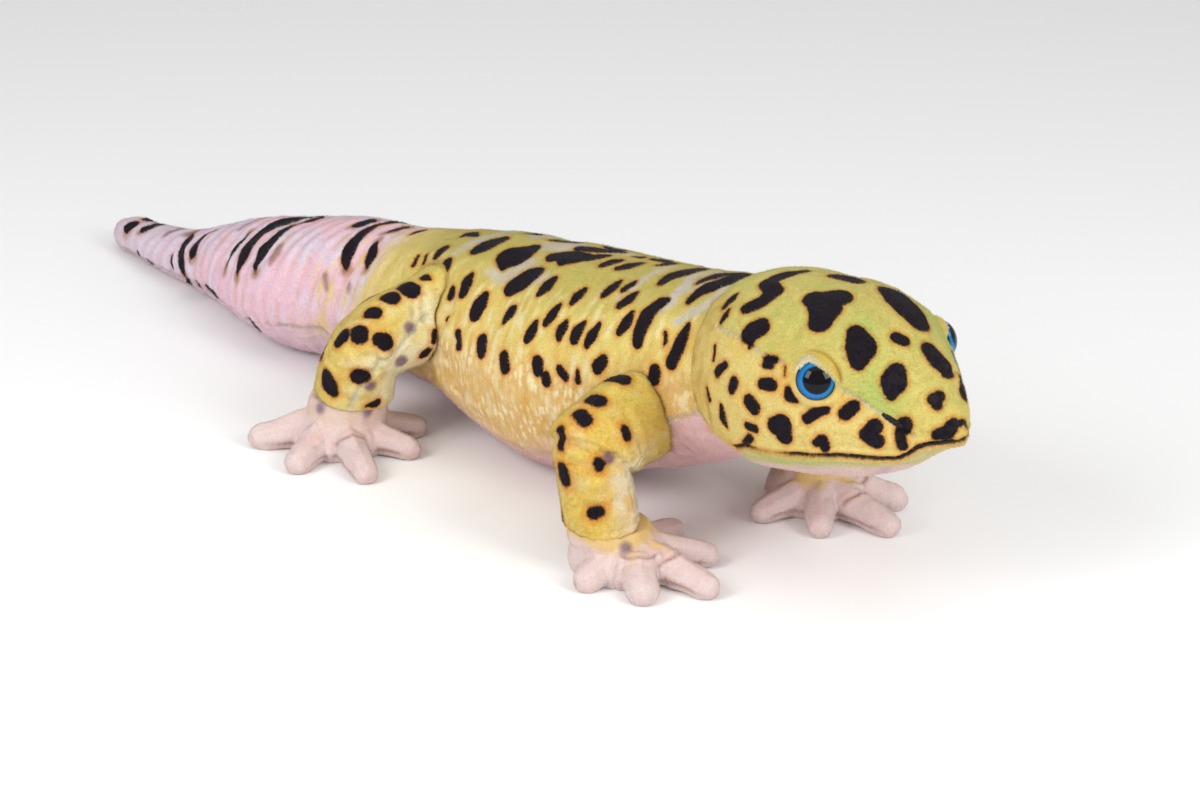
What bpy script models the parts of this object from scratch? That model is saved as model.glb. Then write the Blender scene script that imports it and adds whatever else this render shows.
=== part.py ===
"""A sewn and stuffed plush leopard gecko that stands on four feet, with its belly and tail on the floor.

Lengths here are millimetres, and solid() turns them into metres. The head points to -Y, the gecko's own
left is +X, and the floor is z = 0. While the pieces are made, y = 0 lies between the front feet; the empty
called gecko then slides them all so that the middle of the whole toy is over the world's origin.
"""

import math

import bmesh
import bpy
import numpy as np
from mathutils import Matrix, Vector

MM = 0.001
GAP = 0.3  # air between two pieces that touch
MIDDLE_Y = 169.75  # of the whole toy, before the empty slides it

# Trunk, neck and tail are one tube: y, half width, underside, back.
BODY = [
    (-48, 26, 65, 107),
    (-22, 34, 48, 114.5),
    (5, 38.5, 33, 115.5),
    (32, 42, 21.5, 109),
    (62, 48, 8, 103.5),
    (95, 50.7, -0.7, 99.6),
    (130, 46.8, 0, 94.6),
    (165, 42.5, 10, 87.3),
    (200, 40, 13, 78),
    (235, 37.3, 7, 70.5),
    (265, 41, -0.6, 66),
    (295, 43.5, -0.8, 58.3),
    (325, 35.5, -0.8, 51),
    (360, 25, -0.8, 40.5),
    (400, 17.5, -0.8, 25.8),
    (440, 12, -0.4, 17.3),
    (458, 8.5, 1.5, 14.8),
    (464.5, 2.5, 5.5, 11),
]
BODY_POWER = 2.0  # 2 is an ellipse, more is squarer
NECK_CUT = (24, 115, 0.25)  # y at this height, and how much further forward per mm down
TAIL_CUT_Y = 234

# The head: y, half width, underside, widest height, crown.
HEAD = [
    (8, 5, 80, 85, 94),
    (4, 20, 67, 85, 108),
    (-3, 31, 59, 85, 116.5),
    (-16, 39.5, 53, 84, 123.5),
    (-32, 44.5, 50.5, 82, 127.3),
    (-50, 46.5, 50.5, 80, 129.3),
    (-68, 44.3, 52.8, 80, 129.8),
    (-80, 40, 55.6, 80.5, 127.5),
    (-90, 34, 58.5, 81.5, 123.7),
    (-98, 28, 61.8, 82, 119),
    (-106, 22, 66.5, 83, 113),
    (-113, 16.3, 71.5, 84, 107),
    (-119, 10.8, 77, 84.5, 101),
    (-123, 6.5, 81, 85, 95.5),
    (-125.5, 2, 84, 85.5, 89.5),
]
HEAD_POWER = 2.3

# The line of the closed mouth seen from the side, from the lips back to the throat: y, z.
MOUTH = [
    (-145, 87),
    (-126, 85.5),
    (-119, 84),
    (-115, 82.4),
    (-112.5, 78.5),
    (-108.5, 75.8),
    (-98, 75.4),
    (-75, 72.3),
    (-48, 68.3),
    (-38, 62),
    (-31, 52),
    (-28, 30),
]

EYE_AT = (35.6, -78.4, 105.4)
EYE_RADIUS, EYE_DEPTH = 8.4, 6.6
GAZE_OUT, GAZE_UP = 52, 15  # degrees
BROW_AT = (33, -82, 111)
BROW_REACH, BROW_RISE = 13, 3
LID_THICK = 1.7
LID_DROOP = 16  # degrees that the lid's edge falls towards the snout
LID_EDGE = 0.42  # of the eye's radius that the edge lies above the eye's middle
LID_BACK = 0.15  # how far the lid's edge leans back from the gaze

ARM_RADII = (22, 18.7, 15.8, 17)  # shoulder, elbow, below the elbow, wrist
LEG_RADII = (21, 18, 18, 17.8)  # hip, knee, below the knee, ankle
# Toes, inner one first: degrees outward from the middle toe, and how far the tip's ball lies from its root's.
FRONT_TOES = ((-98, 31), (-45, 31), (0, 41), (41, 32), (97, 30))
HIND_TOES = ((-88, 36), (-50, 37), (-6, 44), (41, 34), (98, 34))
# Names of a leg's two sleeves, the sleeves' radii and the toes.
LEGS = {
    "front": ("arm", "forearm", ARM_RADII, FRONT_TOES),
    "hind": ("thigh", "shank", LEG_RADII, HIND_TOES),
}
# The place the toes spread from, the way the middle toe points (degrees outward), then wrist or ankle,
# elbow or knee, and shoulder or hip, all with x counted outward.
POSES = {
    ("front", "right"): ((60, 3), -6, (68.5, 12, 21), (72.5, 15, 55), (26, 20, 60)),
    ("front", "left"): ((43, -7.5), 0, (50, 3, 21), (62, 12, 55), (26, 20, 60)),
    ("hind", "right"): ((74, 187), 28, (69, 182, 22), (70, 174, 52), (22, 165, 63)),
    ("hind", "left"): ((73.2, 185), 32, (68.5, 184, 22), (65, 178, 41), (24, 168, 55)),
}
TOE_RADII = (8.5, 5.4)  # root, tip
TOE_ROOT = (7, 8.5)  # out from the foot's middle, above the floor
TOE_PRESS = 0.6  # how much of each toe's tip the floor takes off
PALM = (22.5, 24, 13.3)  # half width, half length, half height
PALM_LIFT = 5.7  # its middle above the floor
PALM_BACK = 0.35  # of the way from the middle of the toes to the wrist or ankle
STUMP_SLACK = 0.5  # how much thinner the foot's stump is than its sleeve
SIDES = {"right": -1, "left": 1}

for old in list(bpy.data.objects):
    bpy.data.objects.remove(old)

gecko = bpy.data.objects.new("gecko", None)
gecko.location = (0, -MIDDLE_Y * MM, 0)
bpy.context.collection.objects.link(gecko)


def material(name, colour, roughness):
    made = bpy.data.materials.new(name)
    made.use_nodes = True
    shader = made.node_tree.nodes["Principled BSDF"]
    shader.inputs["Base Color"].default_value = (*colour, 1)
    shader.inputs["Roughness"].default_value = roughness
    shader.inputs["Metallic"].default_value = 0
    return made


YELLOW = material("yellow_plush", (0.72, 0.56, 0.12), 0.9)
LILAC = material("lilac_plush", (0.72, 0.55, 0.66), 0.9)
PINK = material("pink_plush", (0.78, 0.56, 0.54), 0.9)
BLUE = material("moulded_eye", (0.02, 0.2, 0.6), 0.1)


def solid(name, shape, finish):
    """An object from a bmesh in millimetres, shaded smooth, under the empty."""
    bmesh.ops.scale(shape, vec=(MM, MM, MM), verts=shape.verts)
    bmesh.ops.recalc_face_normals(shape, faces=shape.faces)
    mesh = bpy.data.meshes.new(name)
    shape.to_mesh(mesh)
    shape.free()
    mesh.materials.append(finish)
    mesh.shade_smooth()
    mesh.set_sharp_from_angle(angle=math.radians(50))
    made = bpy.data.objects.new(name, mesh)
    made.parent = gecko
    bpy.context.collection.objects.link(made)
    return made


def cutter(name, shape):
    made = solid(name, shape, PINK)
    made.hide_render = True
    made.display_type = "WIRE"
    return made


def grown(original):
    """A cutter one gap larger than this object's own mesh, all round."""
    shape = bmesh.new()
    shape.from_mesh(original.data)
    bmesh.ops.scale(shape, vec=(1 / MM, 1 / MM, 1 / MM), verts=shape.verts)
    shape.normal_update()
    for vert, way in [(vert, vert.normal.copy()) for vert in shape.verts]:
        vert.co += way * GAP
    return cutter(original.name + "_room", shape)


def boolean(target, operation, *others):
    for other in others:
        step = target.modifiers.new(operation.lower() + " " + other.name, "BOOLEAN")
        step.operation = operation
        step.object = other
        step.solver = "EXACT"


def smoothly(rows, at):
    """The rows' values at each of these places along their first column, on a smooth curve through them."""
    rows = np.array(sorted(rows), float)
    keys, values = rows[:, 0], rows[:, 1:]
    slopes = np.gradient(values, keys, axis=0)
    at = np.asarray(at, float)
    left = np.clip(np.searchsorted(keys, at) - 1, 0, len(keys) - 2)
    span = keys[left + 1] - keys[left]
    t = ((at - keys[left]) / span)[:, None]
    span = span[:, None]
    return (
        (2 * t**3 - 3 * t**2 + 1) * values[left]
        + (t**3 - 2 * t**2 + t) * span * slopes[left]
        + (3 * t**2 - 2 * t**3) * values[left + 1]
        + (t**3 - t**2) * span * slopes[left + 1]
    )


def skin(rings):
    """A closed bmesh through rings of points, all with the same count, with a flat face at each end."""
    shape = bmesh.new()
    loops = [[shape.verts.new(point) for point in ring] for ring in rings]
    for near, far in zip(loops, loops[1:]):
        for k in range(len(near)):
            after = (k + 1) % len(near)
            shape.faces.new((near[k], near[after], far[after], far[k]))
    shape.faces.new(loops[0])
    shape.faces.new(loops[-1])
    return shape


def section(y, half_width, low, wide, high, power, sides):
    """An upright oval ring, widest at its own height."""
    ring = []
    for k in range(sides):
        angle = 2 * math.pi * (k + 0.5) / sides
        across, up = math.cos(angle), math.sin(angle)
        x = math.copysign(abs(across) ** (2 / power), across) * half_width
        z = math.copysign(abs(up) ** (2 / power), up) * (high - wide if up > 0 else wide - low)
        ring.append((x, y, wide + z))
    return ring


def spaced(start, stop, step):
    return np.linspace(start, stop, max(2, round(abs(stop - start) / step) + 1))


def capsule(start, end, start_radius, end_radius, sides, cap_steps):
    """A tapered rod with round ends, as a bmesh."""
    start, end = Vector(start), Vector(end)
    axis = (end - start).normalized()
    turn = axis.to_track_quat("Z", "Y").to_matrix()
    rings = []
    angles = [math.pi / 2 * (k + 0.35) / (cap_steps + 0.35) for k in range(cap_steps + 1)]
    profile = [(start, -start_radius * math.cos(a), start_radius * math.sin(a)) for a in angles]
    profile += [(end, end_radius * math.cos(a), end_radius * math.sin(a)) for a in reversed(angles)]
    for centre, along, radius in profile:
        ring = []
        for k in range(sides):
            a = 2 * math.pi * k / sides
            out = turn @ Vector((math.cos(a), math.sin(a), 0))
            ring.append(centre + axis * along + out * radius)
        rings.append(ring)
    return skin(rings)


def ball(centre, radii, turn, sides, rings):
    shape = bmesh.new()
    bmesh.ops.create_uvsphere(shape, u_segments=sides, v_segments=rings, radius=1)
    place = Matrix.Translation(centre) @ turn.to_4x4() @ Matrix.Diagonal((*radii, 1))
    bmesh.ops.transform(shape, matrix=place, verts=shape.verts)
    return shape


def keep_side(shape, point, normal):
    """Cuts a closed bmesh by a plane, keeps the side that the normal points to, and closes the cut."""
    everything = shape.verts[:] + shape.edges[:] + shape.faces[:]
    cut = bmesh.ops.bisect_plane(shape, geom=everything, plane_co=point, plane_no=normal, clear_inner=True)
    edges = [piece for piece in cut["geom_cut"] if isinstance(piece, bmesh.types.BMEdge)]
    bmesh.ops.contextual_create(shape, geom=edges)
    return shape


def body_tube():
    places = [*spaced(BODY[0][0], 440, 13), *spaced(449, BODY[-1][0], 5)]
    sizes = smoothly(BODY, places)
    return skin(
        section(y, width, low, (low + high) / 2, high, BODY_POWER, 26)
        for y, (width, low, high) in zip(places, sizes)
    )


def neck_plane(side):
    y, z, lean = NECK_CUT
    normal = Vector((0, 1, -lean)).normalized() * side
    return Vector((0, y, z)) + normal * GAP / 2, normal


def add_body():
    """Neck, trunk and tail are cut from one tube, so their skins run on across the gaps."""
    neck = solid("neck", keep_side(body_tube(), *neck_plane(-1)), YELLOW)
    trunk_shape = keep_side(body_tube(), *neck_plane(1))
    trunk_end = Vector((0, TAIL_CUT_Y - GAP / 2, 0))
    trunk = solid("trunk", keep_side(trunk_shape, trunk_end, Vector((0, -1, 0))), YELLOW)
    tail_start = Vector((0, TAIL_CUT_Y + GAP / 2, 0))
    tail = solid("tail", keep_side(body_tube(), tail_start, Vector((0, 1, 0))), LILAC)
    return neck, trunk, tail


def head_shape():
    nape, face, snout = spaced(8, -18, 5), spaced(-26, -104, 7.8), spaced(-109, -125, 4)
    places = [*nape, *face, *snout]
    sizes = smoothly(HEAD, places)
    shape = skin(
        section(y, width, low, wide, high, HEAD_POWER, 30)
        for y, (width, low, wide, high) in zip(places, sizes)
    )
    for side in SIDES.values():
        swell(shape, (side * BROW_AT[0], *BROW_AT[1:]), BROW_REACH, BROW_RISE)
    return shape


def swell(shape, centre, reach, rise):
    """Lifts the surface around a place, most at the place itself."""
    shape.normal_update()
    for vert in shape.verts:
        away = (vert.co - Vector(centre)).length / reach
        vert.co += vert.normal * rise * math.exp(-(away**2))


def jaw_block(drop):
    """All that lies under the mouth's line, lowered and moved forward by this much."""
    outline = [(y - drop, z - drop) for y, z in MOUTH] + [(-145 - drop, 30 - drop)]
    shape = bmesh.new()
    face = shape.faces.new([shape.verts.new((-70, y, z)) for y, z in outline])
    pulled = bmesh.ops.extrude_face_region(shape, geom=[face])["geom"]
    across = [piece for piece in pulled if isinstance(piece, bmesh.types.BMVert)]
    bmesh.ops.translate(shape, vec=(140, 0, 0), verts=across)
    return shape


def gaze(side):
    out, up = math.radians(GAZE_OUT), math.radians(GAZE_UP)
    return Vector((side * math.sin(out) * math.cos(up), -math.cos(out) * math.cos(up), math.sin(up)))


def eye_shape(side, more):
    """The moulded eye, a flattened ball that looks along its gaze; more makes it larger all round."""
    centre = Vector((side * EYE_AT[0], *EYE_AT[1:]))
    turn = gaze(side).to_track_quat("Z", "Y").to_matrix()
    return ball(centre, (EYE_RADIUS + more, EYE_RADIUS + more, EYE_DEPTH + more), turn, 16, 8)


def lid_shape(side):
    """A cap over the upper part of the eye, with its edge falling towards the snout."""
    centre = Vector((side * EYE_AT[0], *EYE_AT[1:]))
    forward = Vector((side * math.cos(math.radians(GAZE_OUT)), math.sin(math.radians(GAZE_OUT)), 0))
    droop = math.radians(LID_DROOP)
    up = Vector((0, 0, 1)) * math.cos(droop) - forward * math.sin(droop)
    up = (up - gaze(side) * LID_BACK).normalized()
    return keep_side(eye_shape(side, LID_THICK), centre + up * EYE_RADIUS * LID_EDGE, up)


def add_head():
    whole = cutter("head_whole", head_shape())
    head = solid("head", head_shape(), YELLOW)
    jaw = solid("jaw", head_shape(), YELLOW)
    boolean(head, "DIFFERENCE", cutter("mouth_room", jaw_block(0)))
    boolean(jaw, "INTERSECT", cutter("jaw_room", jaw_block(GAP)))
    for name, side in SIDES.items():
        eye = solid("eye_" + name, eye_shape(side, 0), BLUE)
        lid = solid("eyelid_" + name, lid_shape(side), YELLOW)
        eye_room, lid_room = grown(eye), grown(lid)
        boolean(lid, "DIFFERENCE", eye_room)
        boolean(head, "DIFFERENCE", eye_room, lid_room)
    return whole


def add_sleeves(names, root, bend, end, radii):
    """Two rods that meet in a mitre at the bend. The lower one ends level, over the foot."""
    down = (end - bend).normalized()
    mitre = ((bend - root).normalized() + down).normalized()
    upper = capsule(root, bend, radii[0], radii[1], 16, 4)
    lower = capsule(bend, end + down * radii[3], radii[2], radii[3], 16, 4)
    upper = keep_side(upper, bend - mitre * GAP / 2, -mitre)
    lower = keep_side(lower, bend + mitre * GAP / 2, mitre)
    lower = keep_side(lower, end, Vector((0, 0, 1)))
    solid(names[1], lower, YELLOW)
    return solid(names[0], upper, YELLOW)


def toe_shape(middle, way, reach):
    root_out, root_up = TOE_ROOT
    start = middle + way * root_out + Vector((0, 0, root_up))
    end = middle + way * reach + Vector((0, 0, TOE_RADII[1] - TOE_PRESS))
    return capsule(start, end, *TOE_RADII, 8, 2)


def add_foot(name, middle, turn, ankle, ankle_radius, toes):
    """A palm, the stump that goes into the sleeve and the toes, joined, and flat where they stand."""
    heading = Matrix.Rotation(turn, 3, "Z")
    centre = middle.lerp(Vector((ankle.x, ankle.y, 0)), PALM_BACK) + Vector((0, 0, PALM_LIFT))
    foot = solid(name, ball(centre, PALM, heading, 14, 8), PINK)
    stump = capsule(ankle, centre, ankle_radius - STUMP_SLACK, ankle_radius + STUMP_SLACK, 14, 2)
    stump = keep_side(stump, ankle - Vector((0, 0, GAP)), Vector((0, 0, -1)))
    boolean(foot, "UNION", cutter(name + "_stump", stump))
    for k, (angle, reach) in enumerate(toes):
        way = Matrix.Rotation(turn + angle, 3, "Z") @ Vector((0, -1, 0))
        boolean(foot, "UNION", cutter(f"{name}_toe_{k}", toe_shape(middle, way, reach)))
    boolean(foot, "DIFFERENCE", floor)


def add_leg(end, side_name, rooms):
    side = SIDES[side_name]
    upper_name, lower_name, radii, toes = LEGS[end]
    place, turn, *joints = POSES[end, side_name]
    ankle, bend, root = (Vector((side * x, y, z)) for x, y, z in joints)
    names = (f"{upper_name}_{side_name}", f"{lower_name}_{side_name}")
    boolean(add_sleeves(names, root, bend, ankle, radii), "DIFFERENCE", *rooms)
    middle = Vector((side * place[0], place[1], 0))
    angles = [(side * math.radians(angle), reach) for angle, reach in toes]
    add_foot(f"{end}_foot_{side_name}", middle, side * math.radians(turn), ankle, radii[3], angles)


def floor_block():
    shape = bmesh.new()
    bmesh.ops.create_cube(shape, size=1)
    bmesh.ops.scale(shape, vec=(400, 900, 60), verts=shape.verts)
    bmesh.ops.translate(shape, vec=(0, MIDDLE_Y, -30), verts=shape.verts)
    return cutter("floor", shape)


floor = floor_block()
neck, trunk, tail = add_body()
boolean(neck, "DIFFERENCE", grown(add_head()))
trunk_room, neck_room = grown(trunk), grown(neck)
boolean(trunk, "DIFFERENCE", floor)
boolean(tail, "DIFFERENCE", floor)
for side_name in SIDES:
    add_leg("front", side_name, (trunk_room, neck_room))
    add_leg("hind", side_name, (trunk_room,))
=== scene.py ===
# A stuffed plush leopard gecko: cloth skins, pile, seams, moulded eyes, stage and camera.
import math

import bpy
import numpy as np
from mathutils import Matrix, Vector, noise
from mathutils.kdtree import KDTree


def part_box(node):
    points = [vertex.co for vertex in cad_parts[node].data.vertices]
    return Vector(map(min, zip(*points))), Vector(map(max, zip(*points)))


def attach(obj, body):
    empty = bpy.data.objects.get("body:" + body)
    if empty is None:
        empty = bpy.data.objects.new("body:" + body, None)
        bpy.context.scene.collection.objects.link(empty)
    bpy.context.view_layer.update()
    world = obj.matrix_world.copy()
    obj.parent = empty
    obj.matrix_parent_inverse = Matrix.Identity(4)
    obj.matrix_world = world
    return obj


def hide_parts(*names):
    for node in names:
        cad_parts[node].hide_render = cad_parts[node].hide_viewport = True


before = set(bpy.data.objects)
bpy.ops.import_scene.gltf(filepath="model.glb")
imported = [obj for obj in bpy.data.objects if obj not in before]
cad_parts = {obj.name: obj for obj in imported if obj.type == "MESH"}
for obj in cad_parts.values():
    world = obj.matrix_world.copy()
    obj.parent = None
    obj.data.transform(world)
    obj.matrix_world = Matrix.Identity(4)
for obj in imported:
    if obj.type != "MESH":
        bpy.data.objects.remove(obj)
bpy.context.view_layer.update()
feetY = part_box("head")[1].y - 0.008  # the line between the front feet; all millimetre places count y from it
sides = {"right": -1, "left": 1}  # the gecko's own right is -x
print("frame loaded")

camera = {
    "azimuth": -42.4,  # degrees round from the snout's side, towards the gecko's right
    "elevation": 24.0,
    "distance": 1.5,  # m
    "aim": (0, 89, 32),  # mm
    "lens": 100.0,
}
studio = {  # places, sizes and distances in metres, powers in watts
    "worldLight": 0.47,
    "top": {"place": (-0.1, -0.1, 1.5), "size": (1.6, 1.6), "power": 5.5},
    "leftBox": {"azimuth": -97, "elevation": 33, "away": 1.3, "size": (0.5, 0.72), "power": 8.0},
    "rightBox": {"azimuth": 4, "elevation": 33, "away": 1.3, "size": (0.5, 0.72), "power": 8.0},
    "lowBox": {"azimuth": -34, "elevation": 8, "away": 1.7, "size": (1.9, 0.4), "power": 4.4},
    "floor": (0.93, 0.93, 0.93),
}


def deselect():
    if bpy.context.mode != "OBJECT":
        bpy.ops.object.mode_set(mode="OBJECT")
    bpy.ops.object.select_all(action="DESELECT")


def linked(name, data):  # a new object in the scene
    made = bpy.data.objects.new(name, data)
    bpy.context.scene.collection.objects.link(made)
    return made


def metres(x, y, z):
    return Vector((x, y, z)) * 0.001 + Vector((0, feetY, 0))


def directionFrom(azimuth, elevation):
    a, e = math.radians(azimuth), math.radians(elevation)
    return Vector((math.sin(a) * math.cos(e), -math.cos(a) * math.cos(e), math.sin(e)))


def addCamera():
    aim = metres(*camera["aim"])
    back = directionFrom(camera["azimuth"], camera["elevation"])
    eye = linked("camera", bpy.data.cameras.new("camera"))
    eye.data.lens = camera["lens"]
    eye.data.sensor_width = 36
    eye.location = aim + back * camera["distance"]
    eye.rotation_euler = back.to_track_quat("Z", "Y").to_euler()
    bpy.context.scene.camera = eye


def addSoftBox(name, place, aim, size, power):
    deselect()
    bpy.ops.object.light_add(type="AREA", location=place)
    box = bpy.context.object
    box.name = name
    box.data.shape = "RECTANGLE"
    box.data.size, box.data.size_y = size
    box.data.energy = power
    box.rotation_euler = (place - aim).to_track_quat("Z", "Y").to_euler()
    box.visible_glossy = name != "lowBox"  # it only lifts the shade under the body, and leaves no glint in the eyes


def addStage():
    aim = metres(0, -20, 80)
    top = studio["top"]
    addSoftBox("topLight", Vector(top["place"]), Vector((0, 0, 0)), top["size"], top["power"])
    for name in ("leftBox", "rightBox", "lowBox"):
        box = studio[name]
        place = aim + directionFrom(box["azimuth"], box["elevation"]) * box["away"]
        addSoftBox(name, place, aim, box["size"], box["power"])
    world = bpy.data.worlds.new("studio")
    bpy.context.scene.world = world
    world.use_nodes = True
    world.node_tree.nodes["Background"].inputs["Color"].default_value = (1, 1, 1, 1)
    world.node_tree.nodes["Background"].inputs["Strength"].default_value = studio["worldLight"]
    bpy.context.scene.view_settings.view_transform = "Standard"
    deselect()
    bpy.ops.mesh.primitive_plane_add(size=14)
    floor = bpy.context.object
    floor.name = "floor"
    paper = bpy.data.materials.new("floorPaper")
    paper.use_nodes = True
    shader = paper.node_tree.nodes["Principled BSDF"]
    shader.inputs["Base Color"].default_value = (*studio["floor"], 1)
    shader.inputs["Roughness"].default_value = 0.9
    floor.data.materials.append(paper)


addCamera()
addStage()
print("stage set")


def selectOnly(active, *others):
    deselect()
    for piece in (active, *others):
        piece.select_set(True)
    bpy.context.view_layer.objects.active = active


def editAll(operator, **settings):  # an edit mode operator on the whole of the active piece
    bpy.ops.object.mode_set(mode="EDIT")
    bpy.ops.mesh.select_all(action="SELECT")
    operator(**settings)
    bpy.ops.object.mode_set(mode="OBJECT")


def freshCopy(name, *nodes):  # one closed mesh from the solids' loose triangles
    merged = linked(name, bpy.data.meshes.new(name))
    parts = [linked(node + "Copy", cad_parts[node].data.copy()) for node in nodes]
    selectOnly(merged, *parts)
    bpy.ops.object.join()
    editAll(bpy.ops.mesh.remove_doubles, threshold=0.00001)
    merged.data.materials.clear()
    return merged


def applyAll(piece):
    selectOnly(piece)
    for step in list(piece.modifiers):
        bpy.ops.object.modifier_apply(modifier=step.name)


def remesh(piece, voxel):
    step = piece.modifiers.new("remesh", "REMESH")
    step.mode = "VOXEL"
    step.voxel_size = voxel
    step.use_smooth_shade = True
    applyAll(piece)


def coordinates(mesh):  # in metres, as the mesh has them
    flat = np.empty(len(mesh.vertices) * 3, np.float32)
    mesh.vertices.foreach_get("co", flat)
    return flat.reshape(-1, 3).astype(float)


def setPoints(mesh, points):  # from millimetres
    mesh.vertices.foreach_set("co", (points * 0.001 + (0, feetY, 0)).astype(np.float32).ravel())
    mesh.update()


class Skin:  # a cloth mesh that is worked on as points in millimetres
    def __init__(self, piece):
        self.piece = piece
        self.points = (coordinates(piece.data) - (0, feetY, 0)) * 1000
        ends = np.empty(len(piece.data.edges) * 2, np.int32)
        piece.data.edges.foreach_get("vertices", ends)
        self.first, self.second = ends.reshape(-1, 2).T
        self.neighbours = np.bincount(ends, minlength=len(self.points))[:, None]
        self.feel()

    def feel(self):  # stores the points in the mesh and reads its normals back
        setPoints(self.piece.data, self.points)
        flat = np.empty(len(self.points) * 3, np.float32)
        self.piece.data.vertex_normals.foreach_get("vector", flat)
        self.normals = flat.reshape(-1, 3).astype(float)

    def around(self, values):  # the mean of each point's neighbours
        size = len(self.points)
        total = np.empty_like(values)
        for k in range(values.shape[1]):
            total[:, k] = np.bincount(self.first, values[self.second, k], size)
            total[:, k] += np.bincount(self.second, values[self.first, k], size)
        return total / self.neighbours

    def relax(self, times, strength=0.5, where=1.0, shrink=False):
        for _ in range(times):
            self.points += (self.around(self.points) - self.points) * strength * where
            if not shrink:
                self.points -= (self.around(self.points) - self.points) * strength * 0.9 * where
        self.feel()

    def push(self, amount):  # along the normals, outward where positive
        self.points += self.normals * np.asarray(amount)[:, None]
        self.feel()

    def settle(self):  # what would sink into the floor lies flat on it
        self.points[:, 2] = np.maximum(self.points[:, 2], 0)
        self.feel()


def ease(low, high, value):  # 0 below low, 1 above high, smooth between; also falls where high is under low
    t = np.clip((np.asarray(value, float) - low) / (high - low), 0, 1)
    return t * t * (3 - 2 * t)


def along(rows, y):
    rows = np.array(rows, float)
    return np.interp(y, rows[:, 0], rows[:, 1])


def ripple(points, size, seed, stretch=(1, 1, 1)):  # smooth noise between about -1 and 1, with lumps of this size
    scaled = points / (np.array(stretch) * size) + seed * 17.31
    return np.array([noise.noise(p) for p in scaled]) * 1.6


def tinted(colour, other, amount):
    return colour + (np.asarray(other) - colour) * np.asarray(amount)[:, None]


def densely(line, step):  # more places on a line, evenly spread
    line = np.array(line, float)
    lengths = np.concatenate([[0], np.cumsum(np.linalg.norm(np.diff(line[:, :3], axis=0), axis=1))])
    many = np.linspace(0, lengths[-1], max(2, int(lengths[-1] / step) + 1))
    return np.stack([np.interp(many, lengths, line[:, k]) for k in range(line.shape[1])], 1), many


def within(points, low, high):  # which points lie in a box
    return np.nonzero(((points > low) & (points < high)).all(1))[0]


mostGaps = 4000000  # distances worked out at once


def nearLine(points, line):  # mm to a line and how far along it, for points close to it
    reach = 12
    dense, lengths = densely(line, 0.5)
    away, where = np.full(len(points), 99.0), np.zeros(len(points))
    picked = within(points, dense.min(0) - reach, dense.max(0) + reach)
    for block in np.array_split(picked, max(1, len(picked) * len(dense) // mostGaps)):
        gaps = np.linalg.norm(points[block, None] - dense[None], axis=2)
        away[block] = gaps.min(1)
        where[block] = lengths[gaps.argmin(1)]
    return away, where


def betweens(places, steps):  # the same path with more stops on it
    at = np.linspace(0, len(places) - 1, (len(places) - 1) * steps + 1)
    return np.stack([np.interp(at, range(len(places)), column) for column in zip(*places)], 1)


def bell(value, width):  # 1 at 0, falling to 0 on both sides
    return np.exp(-((value / width) ** 2))


def nearPlace(points, centre, reach):  # 1 at a place, falling to 0 some reach away
    return bell(np.linalg.norm(points - centre, axis=1), reach)


def bothSides(points, x, y, z, reach):
    return nearPlace(points, (-x, y, z), reach) + nearPlace(points, (x, y, z), reach)


seams = {  # depth and width in mm, how much its shoulders swell, how far its stitches pull in and how long they are
    "mouth": (1.3, 0.9, 0.5, 0.15, 3.1),
    "head": (0.55, 0.6, 0.45, 0.3, 3.4),
    "body": (0.7, 0.9, 0.6, 0.35, 4.2),
    "leg": (0.65, 0.8, 0.6, 0.35, 3.6),
    "sole": (0.45, 0.9, 0.6, 0.3, 2.6),
}


def groove(skin, line, depth, width, shoulder, stitch=0.0, stitchLength=1.0):  # pressed in along a line
    away, where = nearLine(skin.points, line)
    dip = -depth * bell(away, width)
    rise = depth * shoulder * bell(away - width * 2.6, width * 1.5)
    pull = -stitch * bell(away, width * 3) * (0.5 + 0.5 * np.cos(where * 2 * math.pi / stitchLength))
    skin.push(dip + rise + pull)
    return away


def storeFloat(piece, name, values):
    made = piece.data.attributes.new(name, "FLOAT", "POINT")
    made.data.foreach_set("value", np.asarray(values, np.float32))


def storeColour(piece, name, values):
    made = piece.data.attributes.new(name, "FLOAT_COLOR", "POINT")
    four = np.ones((len(values), 4), np.float32)
    four[:, :3] = values
    made.data.foreach_set("color", four.ravel())


def hit(skin, start, way):  # the place on a skin that a line from start meets, in mm
    shift = Vector((0, feetY, 0))
    found, place, _, _ = skin.piece.ray_cast(Vector(start) * 0.001 + shift, Vector(way).normalized())
    return (place - shift) * 1000 if found else None


# Spots: each is a row of beads, (y, turn in degrees from the spine, radius in mm)
bodyAxis = [(-48, 86), (5, 74), (62, 56), (95, 49.5), (165, 48.5), (200, 45.5), (235, 38.5), (265, 32.5),
            (295, 28.5), (325, 25), (360, 20), (400, 12.5), (440, 8.5), (464, 8)]
headAxis = [(-130, 83), (10, 83)]


def onTube(skin, axis, y, turn):
    a = math.radians(turn)
    way = Vector((-math.sin(a), 0, math.cos(a)))
    middle = Vector((0, y, float(along(axis, y))))
    return hit(skin, middle + way * 90, -way)


def lineThrough(place, rows):  # the places that the rows give, without those that miss
    found = (place(*row) for row in rows)
    return [tuple(spot) for spot in found if spot is not None]


def beadsOf(group, place):  # places on the skin with their radii, close together
    row = []
    for k, bead in enumerate(group):
        after = group[min(k + 1, len(group) - 1)]
        steps = 1 if k == len(group) - 1 else 8
        for s in range(steps):
            y, turn, radius = (a + (b - a) * s / steps for a, b in zip(bead, after))
            found = place(y, turn)
            if found is not None:
                row.append((*found, radius))
    return np.array(row)


farOff = 30.0  # mm, what a field of distances says where nothing is near


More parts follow.
